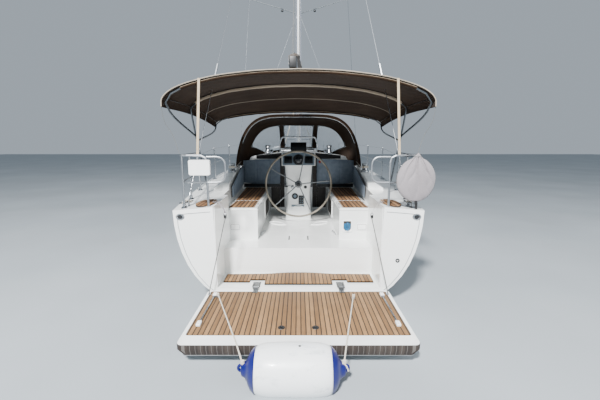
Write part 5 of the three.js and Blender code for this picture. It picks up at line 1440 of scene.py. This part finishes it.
def backrest(name, place, out, across, high, seams):
    """A crowned foam backrest in vinyl on a wall: place gives its back, out the way that it faces."""
    def front(u, v):
        crown = (1 - abs(2 * u - 1) ** 10) * (1 - abs(2 * v - 1) ** 5)
        furrow = sum(exp(-((u - seam) * across / 0.009) ** 2) for seam in seams)
        return place(u, v) + out(u) * (0.012 + 0.022 * crown - 0.008 * furrow * crown)
    pad = draped(name, round(across / 0.012), round(high / 0.02), front, 0.012, -1 if name.endswith("port") else 1)
    # Slate on the pad: painted shade and painted sky reflection.
    put(pad, SLATE_PAINTED_SHADE, 50)
    steps = [k / 30 for k in range(30)]
    edge = [(t, 0) for t in steps] + [(1, t) for t in steps] + [(1 - t, 1) for t in steps] + [(0, 1 - t) for t in steps]
    piping = tube(name + "_piping", [place(u, v) + out(u) * 0.01 for u, v in edge], 0.0055, 8, closed=True)
    put(piping, BLACK, 60, slot="grey_panel")


SIDE_WALL = [(-3.4, 1.044, 1.235), (-2.9, 1.07, 1.31), (-2.3, 1.103, 1.42), (-1.86, 1.126, 1.46)]


def bulkhead():
    """Slate backrests on the cabin's aft face and along the coamings, the slate painted shade and painted sky
    reflection; dark panels round the companionway and a black band above the seats, painted shade.
    """
    face = -1.8005
    for side, s in SIDES:
        def aft_face(u, v):
            x = mix(0.372, 1.098, u)
            low = 1.085 + 0.03 * max(0, (x - 0.9) / 0.2)
            return Vector((s * x, face - 0.002, mix(low, 1.575 - 0.03 * u, v)))

        def side_face(u, v):
            y = mix(-1.862, -3.36, u)
            low = 1.085 - 0.035 * min(1, u / 0.3)
            return Vector((s * (read(SIDE_WALL, 1, y) - 0.006), y, mix(low, read(SIDE_WALL, 2, y) - 0.02, v)))

        backrest(f"backrest_{side}", aft_face, lambda u: Vector((0, -1, 0)), 0.726, 0.49, (0.28, 0.64))
        backrest(f"side_backrest_{side}", side_face, lambda u: Vector((-s, -0.06, 0)), 1.5, 0.3, (0.33, 0.67))
        # The black band above the seats, the umber foot and the umber door post are painted shade.
        for name, x0, x1, z0, z1, finish in (("band", 0.372, 1.1, 1.012, 1.083, BLACK),
                                             ("foot", 0.372, 0.553, 0.6, 1.01, UMBER_PAINTED_SHADE),
                                             ("door_post_painted_shade", 0.284, 0.37, 0.6, 1.6, UMBER_PAINTED_SHADE)):
            panel = [(s * x, z) for x, z in ((x0, z0), (x1, z0), (x1, z1), (x0, z1))]
            padded_panel(f"bulkhead_{name}_{side}", panel, face, face - 0.007, finish, "grey_panel")
    put(turned("bulkhead_red_button", [(0, 0.018), (0.018, 0.016), (0.024, 0.01), (0.026, 0.0), (0.03, -0.003)],
               (0.425, face - 0.034, 1.52), "-y", 28), RED)


def rope_bags():
    """Black mesh bags for the halyards' tails, hung on the cabin's aft face below the roof's edge, their black also
    painted shade under the sprayhood.
    """
    for side, s in SIDES:
        def front(u, v):
            top = 1.692 - 0.05 * u * u - 0.012 * sin(pi * u)
            full = (1 - abs(2 * u - 1) ** 6) * sin(pi * min(1, 0.12 + 0.75 * v)) ** 0.7
            lumps = 0.007 * sin(19 * u + 3 * v) * sin(9 * v + 2 * u)
            return Vector((s * mix(0.335, 0.84, u), -1.803 - 0.042 * full - lumps * full, mix(1.582, top, v)))
        bag = draped(f"rope_bag_{side}", 48, 18, front, 0.002)
        put(bag, BLACK_WEBBING, 50)
        hem = [front(k / 40, 1) + Vector((0, -0.002, 0.001)) for k in range(41)]
        piped(f"rope_bag_hem_{side}", hem, 0.005, 8, BLACK, slot="canvas")
        for k, (x, rope) in enumerate(((0.43, ROPE), (0.53, BLUE_ROPE), (0.66, DARK_ROPE))):
            tail = smoothed([(s * x, -1.66, 1.716), (s * x, -1.77, 1.714), (s * (x + 0.004), -1.812, 1.7),
                             (s * (x + 0.01), -1.828, 1.655), (s * (x + 0.012), -1.826, 1.61)], 6)
            piped(f"halyard_tail_{side}_{k}", tail, 0.005, 8, rope)


def seat_recesses():
    """Dark panels sunk in the seats' inner faces, their dark umber painted shade, with a rounded frame."""
    for side, s in SIDES:
        x = s * 0.5572
        spots = [(x, y, z) for y, z in rounded(-3.05, -2.35, 0.66, 0.92, 0.03)]
        panel = drawn_out(outline_face(f"seat_face_panel_{side}", spots), (-s * 0.004, 0, 0))
        sunk(panel, (-s, 0, 0), 0.02, -0.002)
        put(panel, UMBER_PAINTED_SHADE)
        edge = [(x - s * 0.003, y, z) for y, z in rounded(-3.06, -2.34, 0.65, 0.93, 0.035)]
        piped(f"seat_face_frame_{side}", edge, 0.007, 8, GELCOAT, closed=True)


steering_wheel()
pod()
pedestal_fittings()
for side, s in SIDES:
    winch(f"winch_{side}", s * 1.17, -2.62, 1.384)
    rope_turns(f"winch_rope_{side}", s * 1.17, -2.62, 1.45, [(s * 1.135, -1.9, 1.53), (s * 1.125, -2.2, 1.5),
                                                             (s * 1.1195, -2.5, 1.456)])
bulkhead()
rope_bags()
seat_recesses()


# Rigging and fittings on deck.
def turnbuckle(name, foot, head, low, high):
    """Rigging screw on a stay: fork, open body, threads and terminal, between two heights on its line."""
    spots = [foot.lerp(head, (z - foot.z) / (head.z - foot.z)) for z in (low, high)]
    profile = [(0, 0), (0, 0.011), (0.1, 0.011), (0.13, 0.006), (0.26, 0.006), (0.27, 0.011), (0.3, 0.0125),
               (0.42, 0.009), (0.58, 0.009), (0.7, 0.0125), (0.73, 0.011), (0.74, 0.006), (0.84, 0.006), (0.86, 0.0085),
               (0.98, 0.0075), (1, 0.004), (1, 0)]
    put(spindle(name, *spots, profile), STEEL, 40)


STAY_SPLIT = Vector((0, -1.124, 10.0))
SPREADER_TIP = Vector((1.215, 0.515, 5.44))


def standing_rig():
    for side, s in SIDES:
        foot = Vector((s * 1.27, -4.7, 1.19))
        turnbuckle(f"backstay_screw_{side}", foot, STAY_SPLIT, 1.27, 1.62)
        if side == "port":
            low, high = (foot.lerp(STAY_SPLIT, (z - foot.z) / (STAY_SPLIT.z - foot.z)) for z in (2.62, 2.86))
            put(spindle("backstay_guard", low, high, [(0, 0.006), (0, 0.011), (0.03, 0.0135), (0.5, 0.0135),
                                                      (0.95, 0.012), (1, 0.008), (1, 0.006)], 18), WHITE_PLASTIC, 50)
        cap_foot = Vector((s * 1.575, 0.43, 1.26))
        tip = Vector((s * SPREADER_TIP.x, SPREADER_TIP.y, SPREADER_TIP.z))
        turnbuckle(f"cap_shroud_screw_{side}", cap_foot, tip, 1.36, 1.68)
        for k, (x, y, z) in enumerate(((1.215, 0.515, 5.44), (0.9, 0.625, 9.69))):
            put(spindle(f"spreader_boot_{side}_{k}", (s * (x - 0.035), y, z - 0.003), (s * (x + 0.018), y, z + 0.001),
                        [(0, 0.012), (0.1, 0.02), (0.7, 0.021), (1, 0.012), (1, 0)], 14), WHITE_PLASTIC, 50)
        put(turned(f"spreader_lamp_{side}", [(0, -0.03), (0.028, -0.028), (0.034, -0.01), (0.03, 0.004), (0.01, 0.012)],
                   (s * 0.42, 0.79, 5.28)), BLACK, 45)


def masthead():
    """The tray on the masthead and the lamp at its end."""
    top = 14.85
    put(slab("masthead_tray", (-0.04, 0.82, top), (0.04, 1.1, top + 0.012), 0.003), MAST_METAL)
    put(turned("masthead_lamp", [(0, 0.0), (0.038, 0.0), (0.04, 0.014), (0.034, 0.02), (0.034, 0.028)], (0, 1.02, top)),
        BLACK, 40)


def rope_between(name, start, end, radius, finish, blend=None):
    """A taut line between two places; with blend it is left on no body, its place baked into its mesh."""
    start, end = Vector(start), Vector(end)
    line = tube(name, [start.lerp(end, k / 12) for k in range(13)], radius, 8)
    put(line, finish, 60, None if blend else "yacht")
    if blend:
        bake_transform(line)


def block_shell(name, at, size, body="yacht"):
    """A small pulley block: two cheeks, a sheave and a steel strap."""
    x, y, z = at
    parts = [turned("cheek", [(0, 0.004), (size * 0.7, 0.0038), (size, 0.002), (size, 0), (0, 0)],
                    (x + e * 0.009, y, z), "x" if e > 0 else "-x", 22) for e in (-1, 1)]
    parts.append(turned("sheave", [(0, -0.007), (size * 0.86, -0.007), (size * 0.66, 0), (size * 0.86, 0.007),
                                   (0, 0.007)], at, "x", 22))
    put(joined(name, parts), BLACK, 40, body)
    top = z + size + 0.014
    strap = bent([(x - 0.0145, y, z), (x - 0.0145, y, top), (x + 0.0145, y, top), (x + 0.0145, y, z)], 0.008, 3)
    piped(name + "_strap", strap, 0.0026, 8, STEEL, 50, body=body)


def running_rig():
    rope_between("topping_lift", (0, 0.86, 14.82), on_boom(4.38, 0, 0.085), 0.004, DARK_ROPE, ("yacht", "boom"))
    for side, s in SIDES:
        for k, along in enumerate((1.25, 2.65, 3.6)):
            rope_between(f"lazy_jack_{side}_{k}", (s * 0.055, 0.88, 7.4), on_boom(along, s * 0.056, -0.02), 0.0028,
                         DARK_ROPE, ("yacht", "boom"))
        for k, finish in enumerate((ROPE, BLUE_ROPE)):
            rope_between(f"halyard_{side}_{k}", (s * (0.028 + 0.03 * k), 0.865, 12.2 - 3.1 * k),
                         (s * (0.03 + 0.03 * k), 0.868, 1.86), 0.0045, finish)
        for k, (x, turn, finish) in enumerate(((0.56, 0.3, ROPE), (0.6, 0.34, BLUE_ROPE), (0.64, 0.38, DARK_ROPE))):
            line = [(0.06 + 0.03 * k, 0.86, 1.86), (0.1 + 0.03 * k, 0.8, 1.712), (turn, 0.62, 1.711 - 0.02 * k),
                    (x - 0.04, 0.42, 1.7), (x, -0.3, 1.714), (x, -1.0, 1.71), (x, -1.38, 1.722)]
            piped(f"deck_line_{side}_{k}", bent(sided(s, line), 0.06), 0.0045, 8, finish)
    bail = on_boom(1.72, 0, -0.12)
    block_shell("mainsheet_boom_block", bail, 0.034, "boom")
    hanger = bent([on_boom(1.66, 0, -0.085), bail + Vector((0, 0.02, 0.04)), bail + Vector((0, -0.02, 0.04)),
                   on_boom(1.78, 0, -0.085)], 0.02)
    piped("mainsheet_bail", hanger, 0.004, 8, STEEL, 50, body="boom")
    for side, s in SIDES:
        foot = Vector((s * 0.3, -0.92, 1.862))
        block_shell(f"mainsheet_block_{side}", foot, 0.028)
        for k in (-1, 1):
            rope_between(f"mainsheet_{side}_{k}", foot + Vector((k * 0.006, k * 0.02, 0.02)),
                         bail + Vector((s * 0.012, k * 0.024, 0)), 0.005, ROPE, ("yacht", "boom"))
        put(turned(f"mainsheet_pad_{side}", [(0, 0.03), (0.01, 0.028), (0.016, 0.008), (0.034, 0.004),
                                             (0.036, -0.002)], (s * 0.3, -0.92, 1.803)), STEEL, 40)
    tip = slab("boom_end_cap", (-0.052, -0.006, -0.078), (0.052, 0.05, 0.082), 0.01, 3)
    put(moved(tip, on_boom(4.43, 0, 0)), BLACK, body="boom")
    block_shell("boom_end_block", on_boom(4.33, 0, -0.125), 0.03, "boom")


def cleat(name, x, y, turn, size, rope=False):
    """Horn cleat on two feet, with or without turns of line round it."""
    z = deck_height(x, y)
    c, s = cos(turn), sin(turn)

    def spot(a, b, h):
        return Vector((x + a * c - b * s, y + a * s + b * c, z + h))
    rise = ((-1, 0.05), (-0.6, 0.046), (0, 0.042), (0.6, 0.046), (1, 0.05))
    horns = tube(name, smoothed([spot(0, size * share, h) for share, h in rise], 5), 0.009, 12)
    feet = [turned("foot", [(0, 0.046), (0.009, 0.044), (0.01, 0.02), (0.018, 0.004), (0.024, 0.002),
                            (0.024, -0.004)], spot(0, k * size * 0.35, 0), "z", 20) for k in (-1, 1)]
    put(joined(name, [horns, *feet]), STEEL, 45)
    if rope:
        line = []
        for k in range(145):
            a = TAU * k / 48
            line.append(spot(0.02 * sin(a), size * 0.66 * sin(a / 2 + 0.4),
                             0.047 + 0.012 * cos(a) + 0.004 * k / 48))
        piped(name + "_turns", line, 0.006, 8, ROPE)


def hull_side(s, y, z):
    """Where the hull's side lies at a station and a height, and the way outward there."""
    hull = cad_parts["hull"]
    hit, spot, normal, _ = hull.ray_cast(Vector((s * 3, y, z)), Vector((-s, 0, 0)))
    return (spot, normal) if hit else (Vector((s * read(HULL_ROWS, 1, y), y, z)), Vector((s, 0, 0)))


def toe_rails():
    for side, s in SIDES:
        path = []
        for k in range(111):
            y = mix(-3.35, 4.62, k / 110)
            beam = read(HULL_ROWS, 1, y) - 0.028
            path.append(Vector((s * beam, y, deck_height(beam, y))))
        outline = ((-0.013, -0.004), (-0.0055, 0.0), (-0.0045, 0.03), (0.0045, 0.03), (0.0055, 0.0), (0.013, -0.004))
        rail = draped(f"toe_rail_{side}", 5, 110, lambda u, v: path[round(v * 110)]
                      + Vector((outline[round(u * 5)][0], 0, outline[round(u * 5)][1])))
        everything(rail)
        bpy.ops.mesh.normals_make_consistent(inside=False)
        free()
        thicken(rail, 0.002)
        put(rail, MAST_METAL, 30)


def transom_mouldings():
    """A bead inside each wing's outer edge, grey with painted shade, the chocks and the outlet."""
    for side, s in SIDES:
        line = []
        for k in range(37):
            z = mix(0.2, 1.085, k / 36)
            line.append((hull_side(s, -4.84, z)[0].x - s * 0.045, -4.8515, z))
        line += [(s * x, -4.8515, deck_height(x, -4.85) - 0.05) for x in (1.25, 1.15, 1.05, 0.98)]
        piped(f"transom_bead_{side}", line, 0.0036, 8, BEAD_PAINTED_SHADE)
        at = (s * 1.315, -4.85, 1.062)
        ring = turned(f"stern_chock_{side}", [(0.02, -0.004), (0.02, 0.005), (0.024, 0.01), (0.031, 0.01),
                                              (0.036, 0.004), (0.038, -0.003)], at, "-y", 36)
        mouth = turned(f"stern_chock_mouth_{side}", [(0, 0.0012), (0.0205, 0.0012), (0.0205, -0.002)], at, "-y", 36)
        for piece in (ring, mouth):
            everything(piece)
            bpy.ops.transform.resize(value=(1.35, 1, 1), center_override=at)
            free()
        put(ring, STEEL, 40)
        put(mouth, BLACK, 40)
        piped(f"wing_edge_{side}", [(s * 0.934, -4.852, mix(0.26, 1.17, k / 10)) for k in range(11)], 0.006, 8, GELCOAT)
    put(turned("transom_outlet", [(0.008, -0.004), (0.009, 0.003), (0.013, 0.007), (0.022, 0.006), (0.025, 0.001),
                                  (0.025, -0.004)], (1.125, -4.85, 0.555), "-y", 28), BLACK, 45)


def cockpit_fittings():
    """Shower box, locker plates, sole slots, foot mouldings and handles."""
    face = -4.0435
    rim = [(0.665 + x, 0.762 + z) for x, z in rounded(-0.066, 0.066, -0.085, 0.085, 0.022)]
    padded_panel("shower_box_frame", rim, face, face - 0.012, WHITE_PLASTIC)
    inner = [(-0.052, -0.035), (-0.028, -0.068), (0.028, -0.068), (0.052, -0.035), (0.052, 0.068), (-0.052, 0.068)]
    # The recess's dark umber is painted shade.
    padded_panel("shower_box_recess", [(0.665 + x, 0.762 + z) for x, z in inner], face - 0.0105, face - 0.0135, UMBER_PAINTED_SHADE)
    pocket = [(-0.044, -0.02), (-0.024, -0.048), (0.024, -0.048), (0.044, -0.02), (0.044, 0.048), (-0.044, 0.048)]
    padded_panel("shower_box_pocket", [(0.665 + x, 0.748 + z) for x, z in pocket], face - 0.013, face - 0.02, TEAL)
    put(spindle("shower_head", (0.665, face - 0.03, 0.7), (0.665, face - 0.034, 0.81),
                [(0, 0), (0, 0.011), (0.5, 0.014), (0.72, 0.019), (0.95, 0.021), (1, 0.017), (1, 0)], 20), TEAL, 45)
    for side, s in SIDES:
        spots = [(s * 0.865 + x, 0.745 + z) for x, z in rounded(-0.07, 0.07, -0.05, 0.05, 0.014)]
        padded_panel(f"locker_plate_{side}", spots, face, face - 0.005, WHITE_PLASTIC)
        rim = [(s * 0.865 + x, face - 0.006, 0.745 + z) for x, z in rounded(-0.058, 0.058, -0.038, 0.038, 0.01)]
        piped(f"locker_plate_rim_{side}", rim, 0.0022, 6, GREY_CLOTH, closed=True, slot="gelcoat")
        x = s * 0.131
        slot = slab(f"sole_slot_{side}", (x - 0.0085, -4.06, 0.564), (x + 0.0085, -3.87, 0.5705), 0.003)
        sunk(slot, (0, 0, 1), 0.003, -0.002)
        put(slot, BLACK)
        chock = [(s * x, y, 0.5705) for x, y in ((0.5, -2.98), (0.46, -3.08), (0.38, -3.16), (0.28, -3.2), (0.2, -3.2))]
        piped(f"foot_moulding_{side}", smoothed(chock), 0.009, 10, GELCOAT)
        inside = [(s * x, y, 0.5705) for x, y in ((0.5, -2.98), (0.4, -2.97), (0.3, -3.02), (0.24, -3.1), (0.2, -3.2))]
        piped(f"foot_moulding_inner_{side}", smoothed(inside), 0.005, 8, GELCOAT)
        handle = sided(s, [(0.54, -3.82, 0.569), (0.53, -3.81, 0.6), (0.5, -3.66, 0.6), (0.5, -3.65, 0.569)])
        piped(f"foot_rest_{side}", bent(handle, 0.018), 0.006, 10, STEEL)
        piped(f"seat_edge_{side}", [(s * 0.5585, y, 0.9795) for y in (-4.04, -1.81)], 0.006, 8, GELCOAT)
        piped(f"seat_front_edge_{side}", [(s * x, -4.0445, 0.9795) for x in (0.558, 0.96)], 0.006, 8, GELCOAT)
        x = s * 0.96
        for k, y in enumerate((-3.9, -3.58)):
            put(slab("hinge", (x - 0.018, y - 0.022, 1.0045), (x + 0.02, y + 0.022, 1.0115), 0.0025),
                STEEL).name = f"locker_hinge_{side}_{k}"
        x = s * 0.585
        put(slab(f"locker_latch_{side}", (x - 0.012, -3.78, 0.985), (x + 0.012, -3.7, 1.0115), 0.003), STEEL,
            body=f"locker_lid_{side}")


def hoist_tackle():
    """Straps, blocks and lines that hold the bathing platform's sides."""
    for side, s in SIDES:
        edge = Vector((s * 0.93, -4.63, deck_height(0.93, -4.63) + 0.006))
        block = Vector((s * 0.81, -4.872, 1.07))
        path = [edge + Vector((s * 0.09, 0.06, 0)), edge + Vector((s * 0.02, 0.01, 0.001)),
                edge + Vector((-s * 0.012, -0.01, -0.01)), block + Vector((s * 0.012, 0.02, 0.07)),
                block + Vector((0, 0, 0.036))]
        webbing(f"hoist_strap_{side}", path, 0.03, GREY_CLOTH, (0.3, 1, 0))
        block_shell(f"hoist_block_{side}", block, 0.022)
        foot = Vector((s * 1.0, -4.955, PLATFORM_TOP))
        put(turned(f"hoist_eye_{side}", [(0, 0.03), (0.007, 0.027), (0.008, 0.008), (0.018, 0.004), (0.02, -0.002)],
                   foot, "z", 20), STEEL, 40, "platform")
        rope_between(f"hoist_line_{side}", block + Vector((0, 0, -0.018)), foot + Vector((0, 0, 0.026)), 0.0052,
                     DARK_ROPE, ("yacht", "platform"))


STANCHIONS = ((1.625, -2), (1.65, -0.5), (1.58, 0.95), (1.31, 2.4), (0.9, 3.45))


def pushpit_loops():
    """The bow of tube on the inboard side of each pushpit, from its middle rail up to its top rail."""
    for side, s in SIDES:
        loop = sided(s, [(1.01, -4.79, 1.44), (0.81, -4.776, 1.44), (0.81, -4.776, 1.722), (1.01, -4.79, 1.722)])
        piped(f"pushpit_loop_{side}", bent(loop, 0.1), 0.0115, 12, SATIN_STEEL)


def rail_feet():
    """Flanges under every rail and stanchion, and the stanchions' caps."""
    feet = [(1.5, -3.42), (1.295, -4.754), (1.398, -4.18), *STANCHIONS, (0.6, 3.98), (0.384, 4.399), (0.168, 4.7)]
    for side, s in SIDES:
        flanges = [turned("flange", [(0.0128, 0.05), (0.0175, 0.048), (0.018, 0.02), (0.03, 0.008), (0.036, 0.004),
                                     (0.037, -0.006)], (s * x, y, deck_height(x, y)), "z", 22) for x, y in feet]
        put(joined(f"rail_flanges_{side}", flanges), STEEL, 40)
        caps = [turned("cap", [(0, 0.014), (0.009, 0.012), (0.0135, 0.004), (0.0138, -0.012)],
                       (s * x, y, deck_height(x, y) + 0.6), "z", 18) for x, y in STANCHIONS]
        put(joined(f"stanchion_caps_{side}", caps), STEEL, 40)


def deck_hardware():
    """Cleats, clutches, winches, rails, tracks, fillers, vents and the roof's hatches."""
    for side, s in SIDES:
        cleat(f"stern_cleat_{side}", s * 1.3, -4.66, s * 0.5, 0.1, True)
        cleat(f"spring_cleat_{side}", s * 1.6, -0.1, 0, 0.11)
        cleat(f"bow_cleat_{side}", s * 0.42, 4.05, s * 0.25, 0.12)
        for k, finish in enumerate((GREY_PANEL, BLACK, GREY_CLOTH)):
            x = s * (0.56 + 0.04 * k)
            put(slab(f"clutch_{side}_{k}", (x - 0.016, -1.52, 1.703), (x + 0.016, -1.39, 1.752), 0.006, 3), BLACK)
            lever = slab(f"clutch_lever_{side}_{k}", (x - 0.011, -1.5, 1.752), (x + 0.011, -1.36, 1.762), 0.003)
            put(swung(lever, -0.15, (x, -1.4, 1.755)), finish, slot="black_plastic")
        winch(f"halyard_winch_{side}", s * 0.62, -1.665, 1.694)
        rail = sided(s, [(0.69, 1.35, 1.645), (0.69, 1.32, 1.725), (0.76, 0.2, 1.745), (0.82, -0.85, 1.755),
                         (0.82, -0.88, 1.66)])
        piped(f"roof_rail_{side}", bent(rail, 0.05), 0.011, 12, STEEL)
        posts = [tube("post", [(s * x, y, z - 0.1), (s * x, y, z)], 0.008, 10) for x, y, z in
                 ((0.715, 0.93, 1.732), (0.76, 0.2, 1.745), (0.79, -0.32, 1.75))]
        put(joined(f"roof_rail_posts_{side}", posts), STEEL, 60)
        x, z = s * 1.24, deck_height(1.22, 0.2) + 0.001
        put(slab(f"genoa_track_{side}", (x - 0.016, -0.75, z - 0.012), (x + 0.016, 0.75, z + 0.02), 0.002), BOOM_METAL)
        put(slab(f"genoa_car_{side}", (x - 0.027, -0.18, z + 0.008), (x + 0.027, -0.04, z + 0.038), 0.005, 3), BLACK)
        block_shell(f"genoa_block_{side}", (x, -0.12, z + 0.066), 0.03)
        sheet = sided(s, [(1.24, -0.15, z + 0.06), (1.3, -1.2, 1.3), (1.33, -1.95, 1.42), (1.24, -2.35, 1.49),
                          (1.2, -2.56, 1.452)])
        piped(f"genoa_sheet_{side}", smoothed(sheet), 0.006, 8, BLUE_ROPE)
        put(turned(f"deck_filler_{side}", [(0, 0.004), (0.018, 0.004), (0.02, 0.0015), (0.03, 0.003),
                                           (0.034, -0.003)], (s * 1.47, -2.5, deck_height(1.47, -2.5)), "z", 28),
            STEEL, 40)
        put(turned(f"roof_vent_{side}", [(0, 0.05), (0.05, 0.046), (0.068, 0.03), (0.07, 0.012), (0.06, 0.004),
                                         (0.06, -0.01)], (s * 0.42, 1.55, 1.645), "z", 32), STEEL, 40)
    for k, (y, reach) in enumerate(((0.25, 0.22), (1.5, 0.2))):
        z = read([(-1.8, 1.7), (-0.5, 1.715), (0.9, 1.68), (2.1, 1.6)], 1, y)
        put(slab(f"roof_hatch_frame_{k}", (-reach, y - reach, z - 0.02), (reach, y + reach, z + 0.014), 0.006, 3),
            MAST_METAL)
        half = reach - 0.022
        put(slab(f"roof_hatch_pane_{k}", (-half, y - half, z), (half, y + half, z + 0.02), 0.006, 3), SMOKED)


def hatch_dressing():
    """The companionway hatch's handle and front bar, the washboard's lock and its guides."""
    handle = [(-0.09, -1.74, 1.748), (-0.09, -1.74, 1.772), (0.09, -1.74, 1.772), (0.09, -1.74, 1.748)]
    piped("slide_handle", bent(handle, 0.014), 0.006, 10, STEEL, body="companionway_hatch")
    put(slab("slide_front_bar", (-0.3, -1.812, 1.722), (0.3, -1.796, 1.752)), MAST_METAL, body="companionway_hatch")
    put(turned("washboard_lock", [(0, 0.014), (0.014, 0.012), (0.018, 0.004), (0.024, 0.002), (0.025, -0.003)],
               (0, -1.788, 1.6), "-y", 28), STEEL, 40)
    for side, s in SIDES:
        x = s * 0.3
        put(slab(f"washboard_guide_{side}", (x - 0.016, -1.806, 1.01), (x + 0.016, -1.789, 1.7), 0.003), BLACK)


def lamps():
    for (side, s), finish in zip(SIDES, (RED, GREEN)):
        x = s * 0.06
        put(slab(f"bow_lamp_{side}", (x - 0.03, 4.985, 1.79), (x + 0.03, 5.02, 1.84), 0.008, 3), BLACK)
        x = s * 0.062
        put(slab(f"bow_lamp_lens_{side}", (x - 0.024, 5.012, 1.796), (x + 0.024, 5.028, 1.834), 0.006, 3), finish)


def hull_window_spot(s, y0, y1, u, v):
    """A place on a window in the topsides: its square is squeezed to a long rounded shape."""
    a, b = 2 * u - 1, 2 * v - 1
    height = 0.88 + 0.085 * b * (1 - 0.35 * abs(a) ** 5) * (1 - 0.16 * abs(a) ** 6)
    spot, normal = hull_side(s, mix(y0, y1, 0.5 + 0.5 * a), height)
    return spot + normal * 0.002


def hull_windows():
    """Long dark windows let into the topsides, each in a rim that runs round its square's softened outline."""
    outline = []
    for a in angles(64):
        c, s = cos(a), sin(a)
        outline.append((0.5 + 0.5 * copysign(abs(c) ** 0.4, c), 0.5 + 0.5 * copysign(abs(s) ** 0.6, s)))
    for side, s in SIDES:
        for k, (y0, y1) in enumerate(((-1.35, -0.75), (0.55, 1.15))):
            put(draped(f"hull_window_{side}_{k}", 24, 10, lambda u, v: hull_window_spot(s, y0, y1, u, v), 0.003),
                SMOKED, 50)
            loop = [hull_window_spot(s, y0, y1, u, v) for u, v in outline]
            piped(f"hull_window_rim_{side}_{k}", loop, 0.005, 8, MAST_METAL, closed=True)


standing_rig()
masthead()
running_rig()
toe_rails()
transom_mouldings()
cockpit_fittings()
hoist_tackle()
pushpit_loops()
rail_feet()
deck_hardware()
hatch_dressing()
lamps()
hull_windows()


# Studio: a pale floor at the waterline, one broad high light and soft fill.
def studio():
    floor = begin("plane", "floor_pale", size=120)
    tones = [(0.3, "#949ba0"), (0.7, "#a0a7ac")]
    floor.data.materials.append(finish_named("floor_paint_pale", "#9aa1a6", 0.7, (0.4, 3, 0.5, tones))[0])
    world = bpy.data.worlds.new("studio_air")
    bpy.context.scene.world = world
    world.use_nodes = True
    air = world.node_tree.nodes["Background"]
    air.inputs["Color"].default_value = colour("#c6d3df")
    air.inputs["Strength"].default_value = 0.66
    for name, place, aim, size, power in (
            ("key", (-3, -15.5, 12.5), (0, -3, 0.5), 1.6, 9300),
            ("fill", (10, -12, 7), (0, -3, 1), 8, 900)):
        lamp = bpy.data.lights.new(name, "AREA")
        lamp.size = size
        lamp.energy = power
        light = bpy.data.objects.new(name, lamp)
        bpy.context.scene.collection.objects.link(light)
        light.location = place
        light.rotation_euler = (Vector(aim) - Vector(place)).to_track_quat("-Z", "Y").to_euler()


studio()
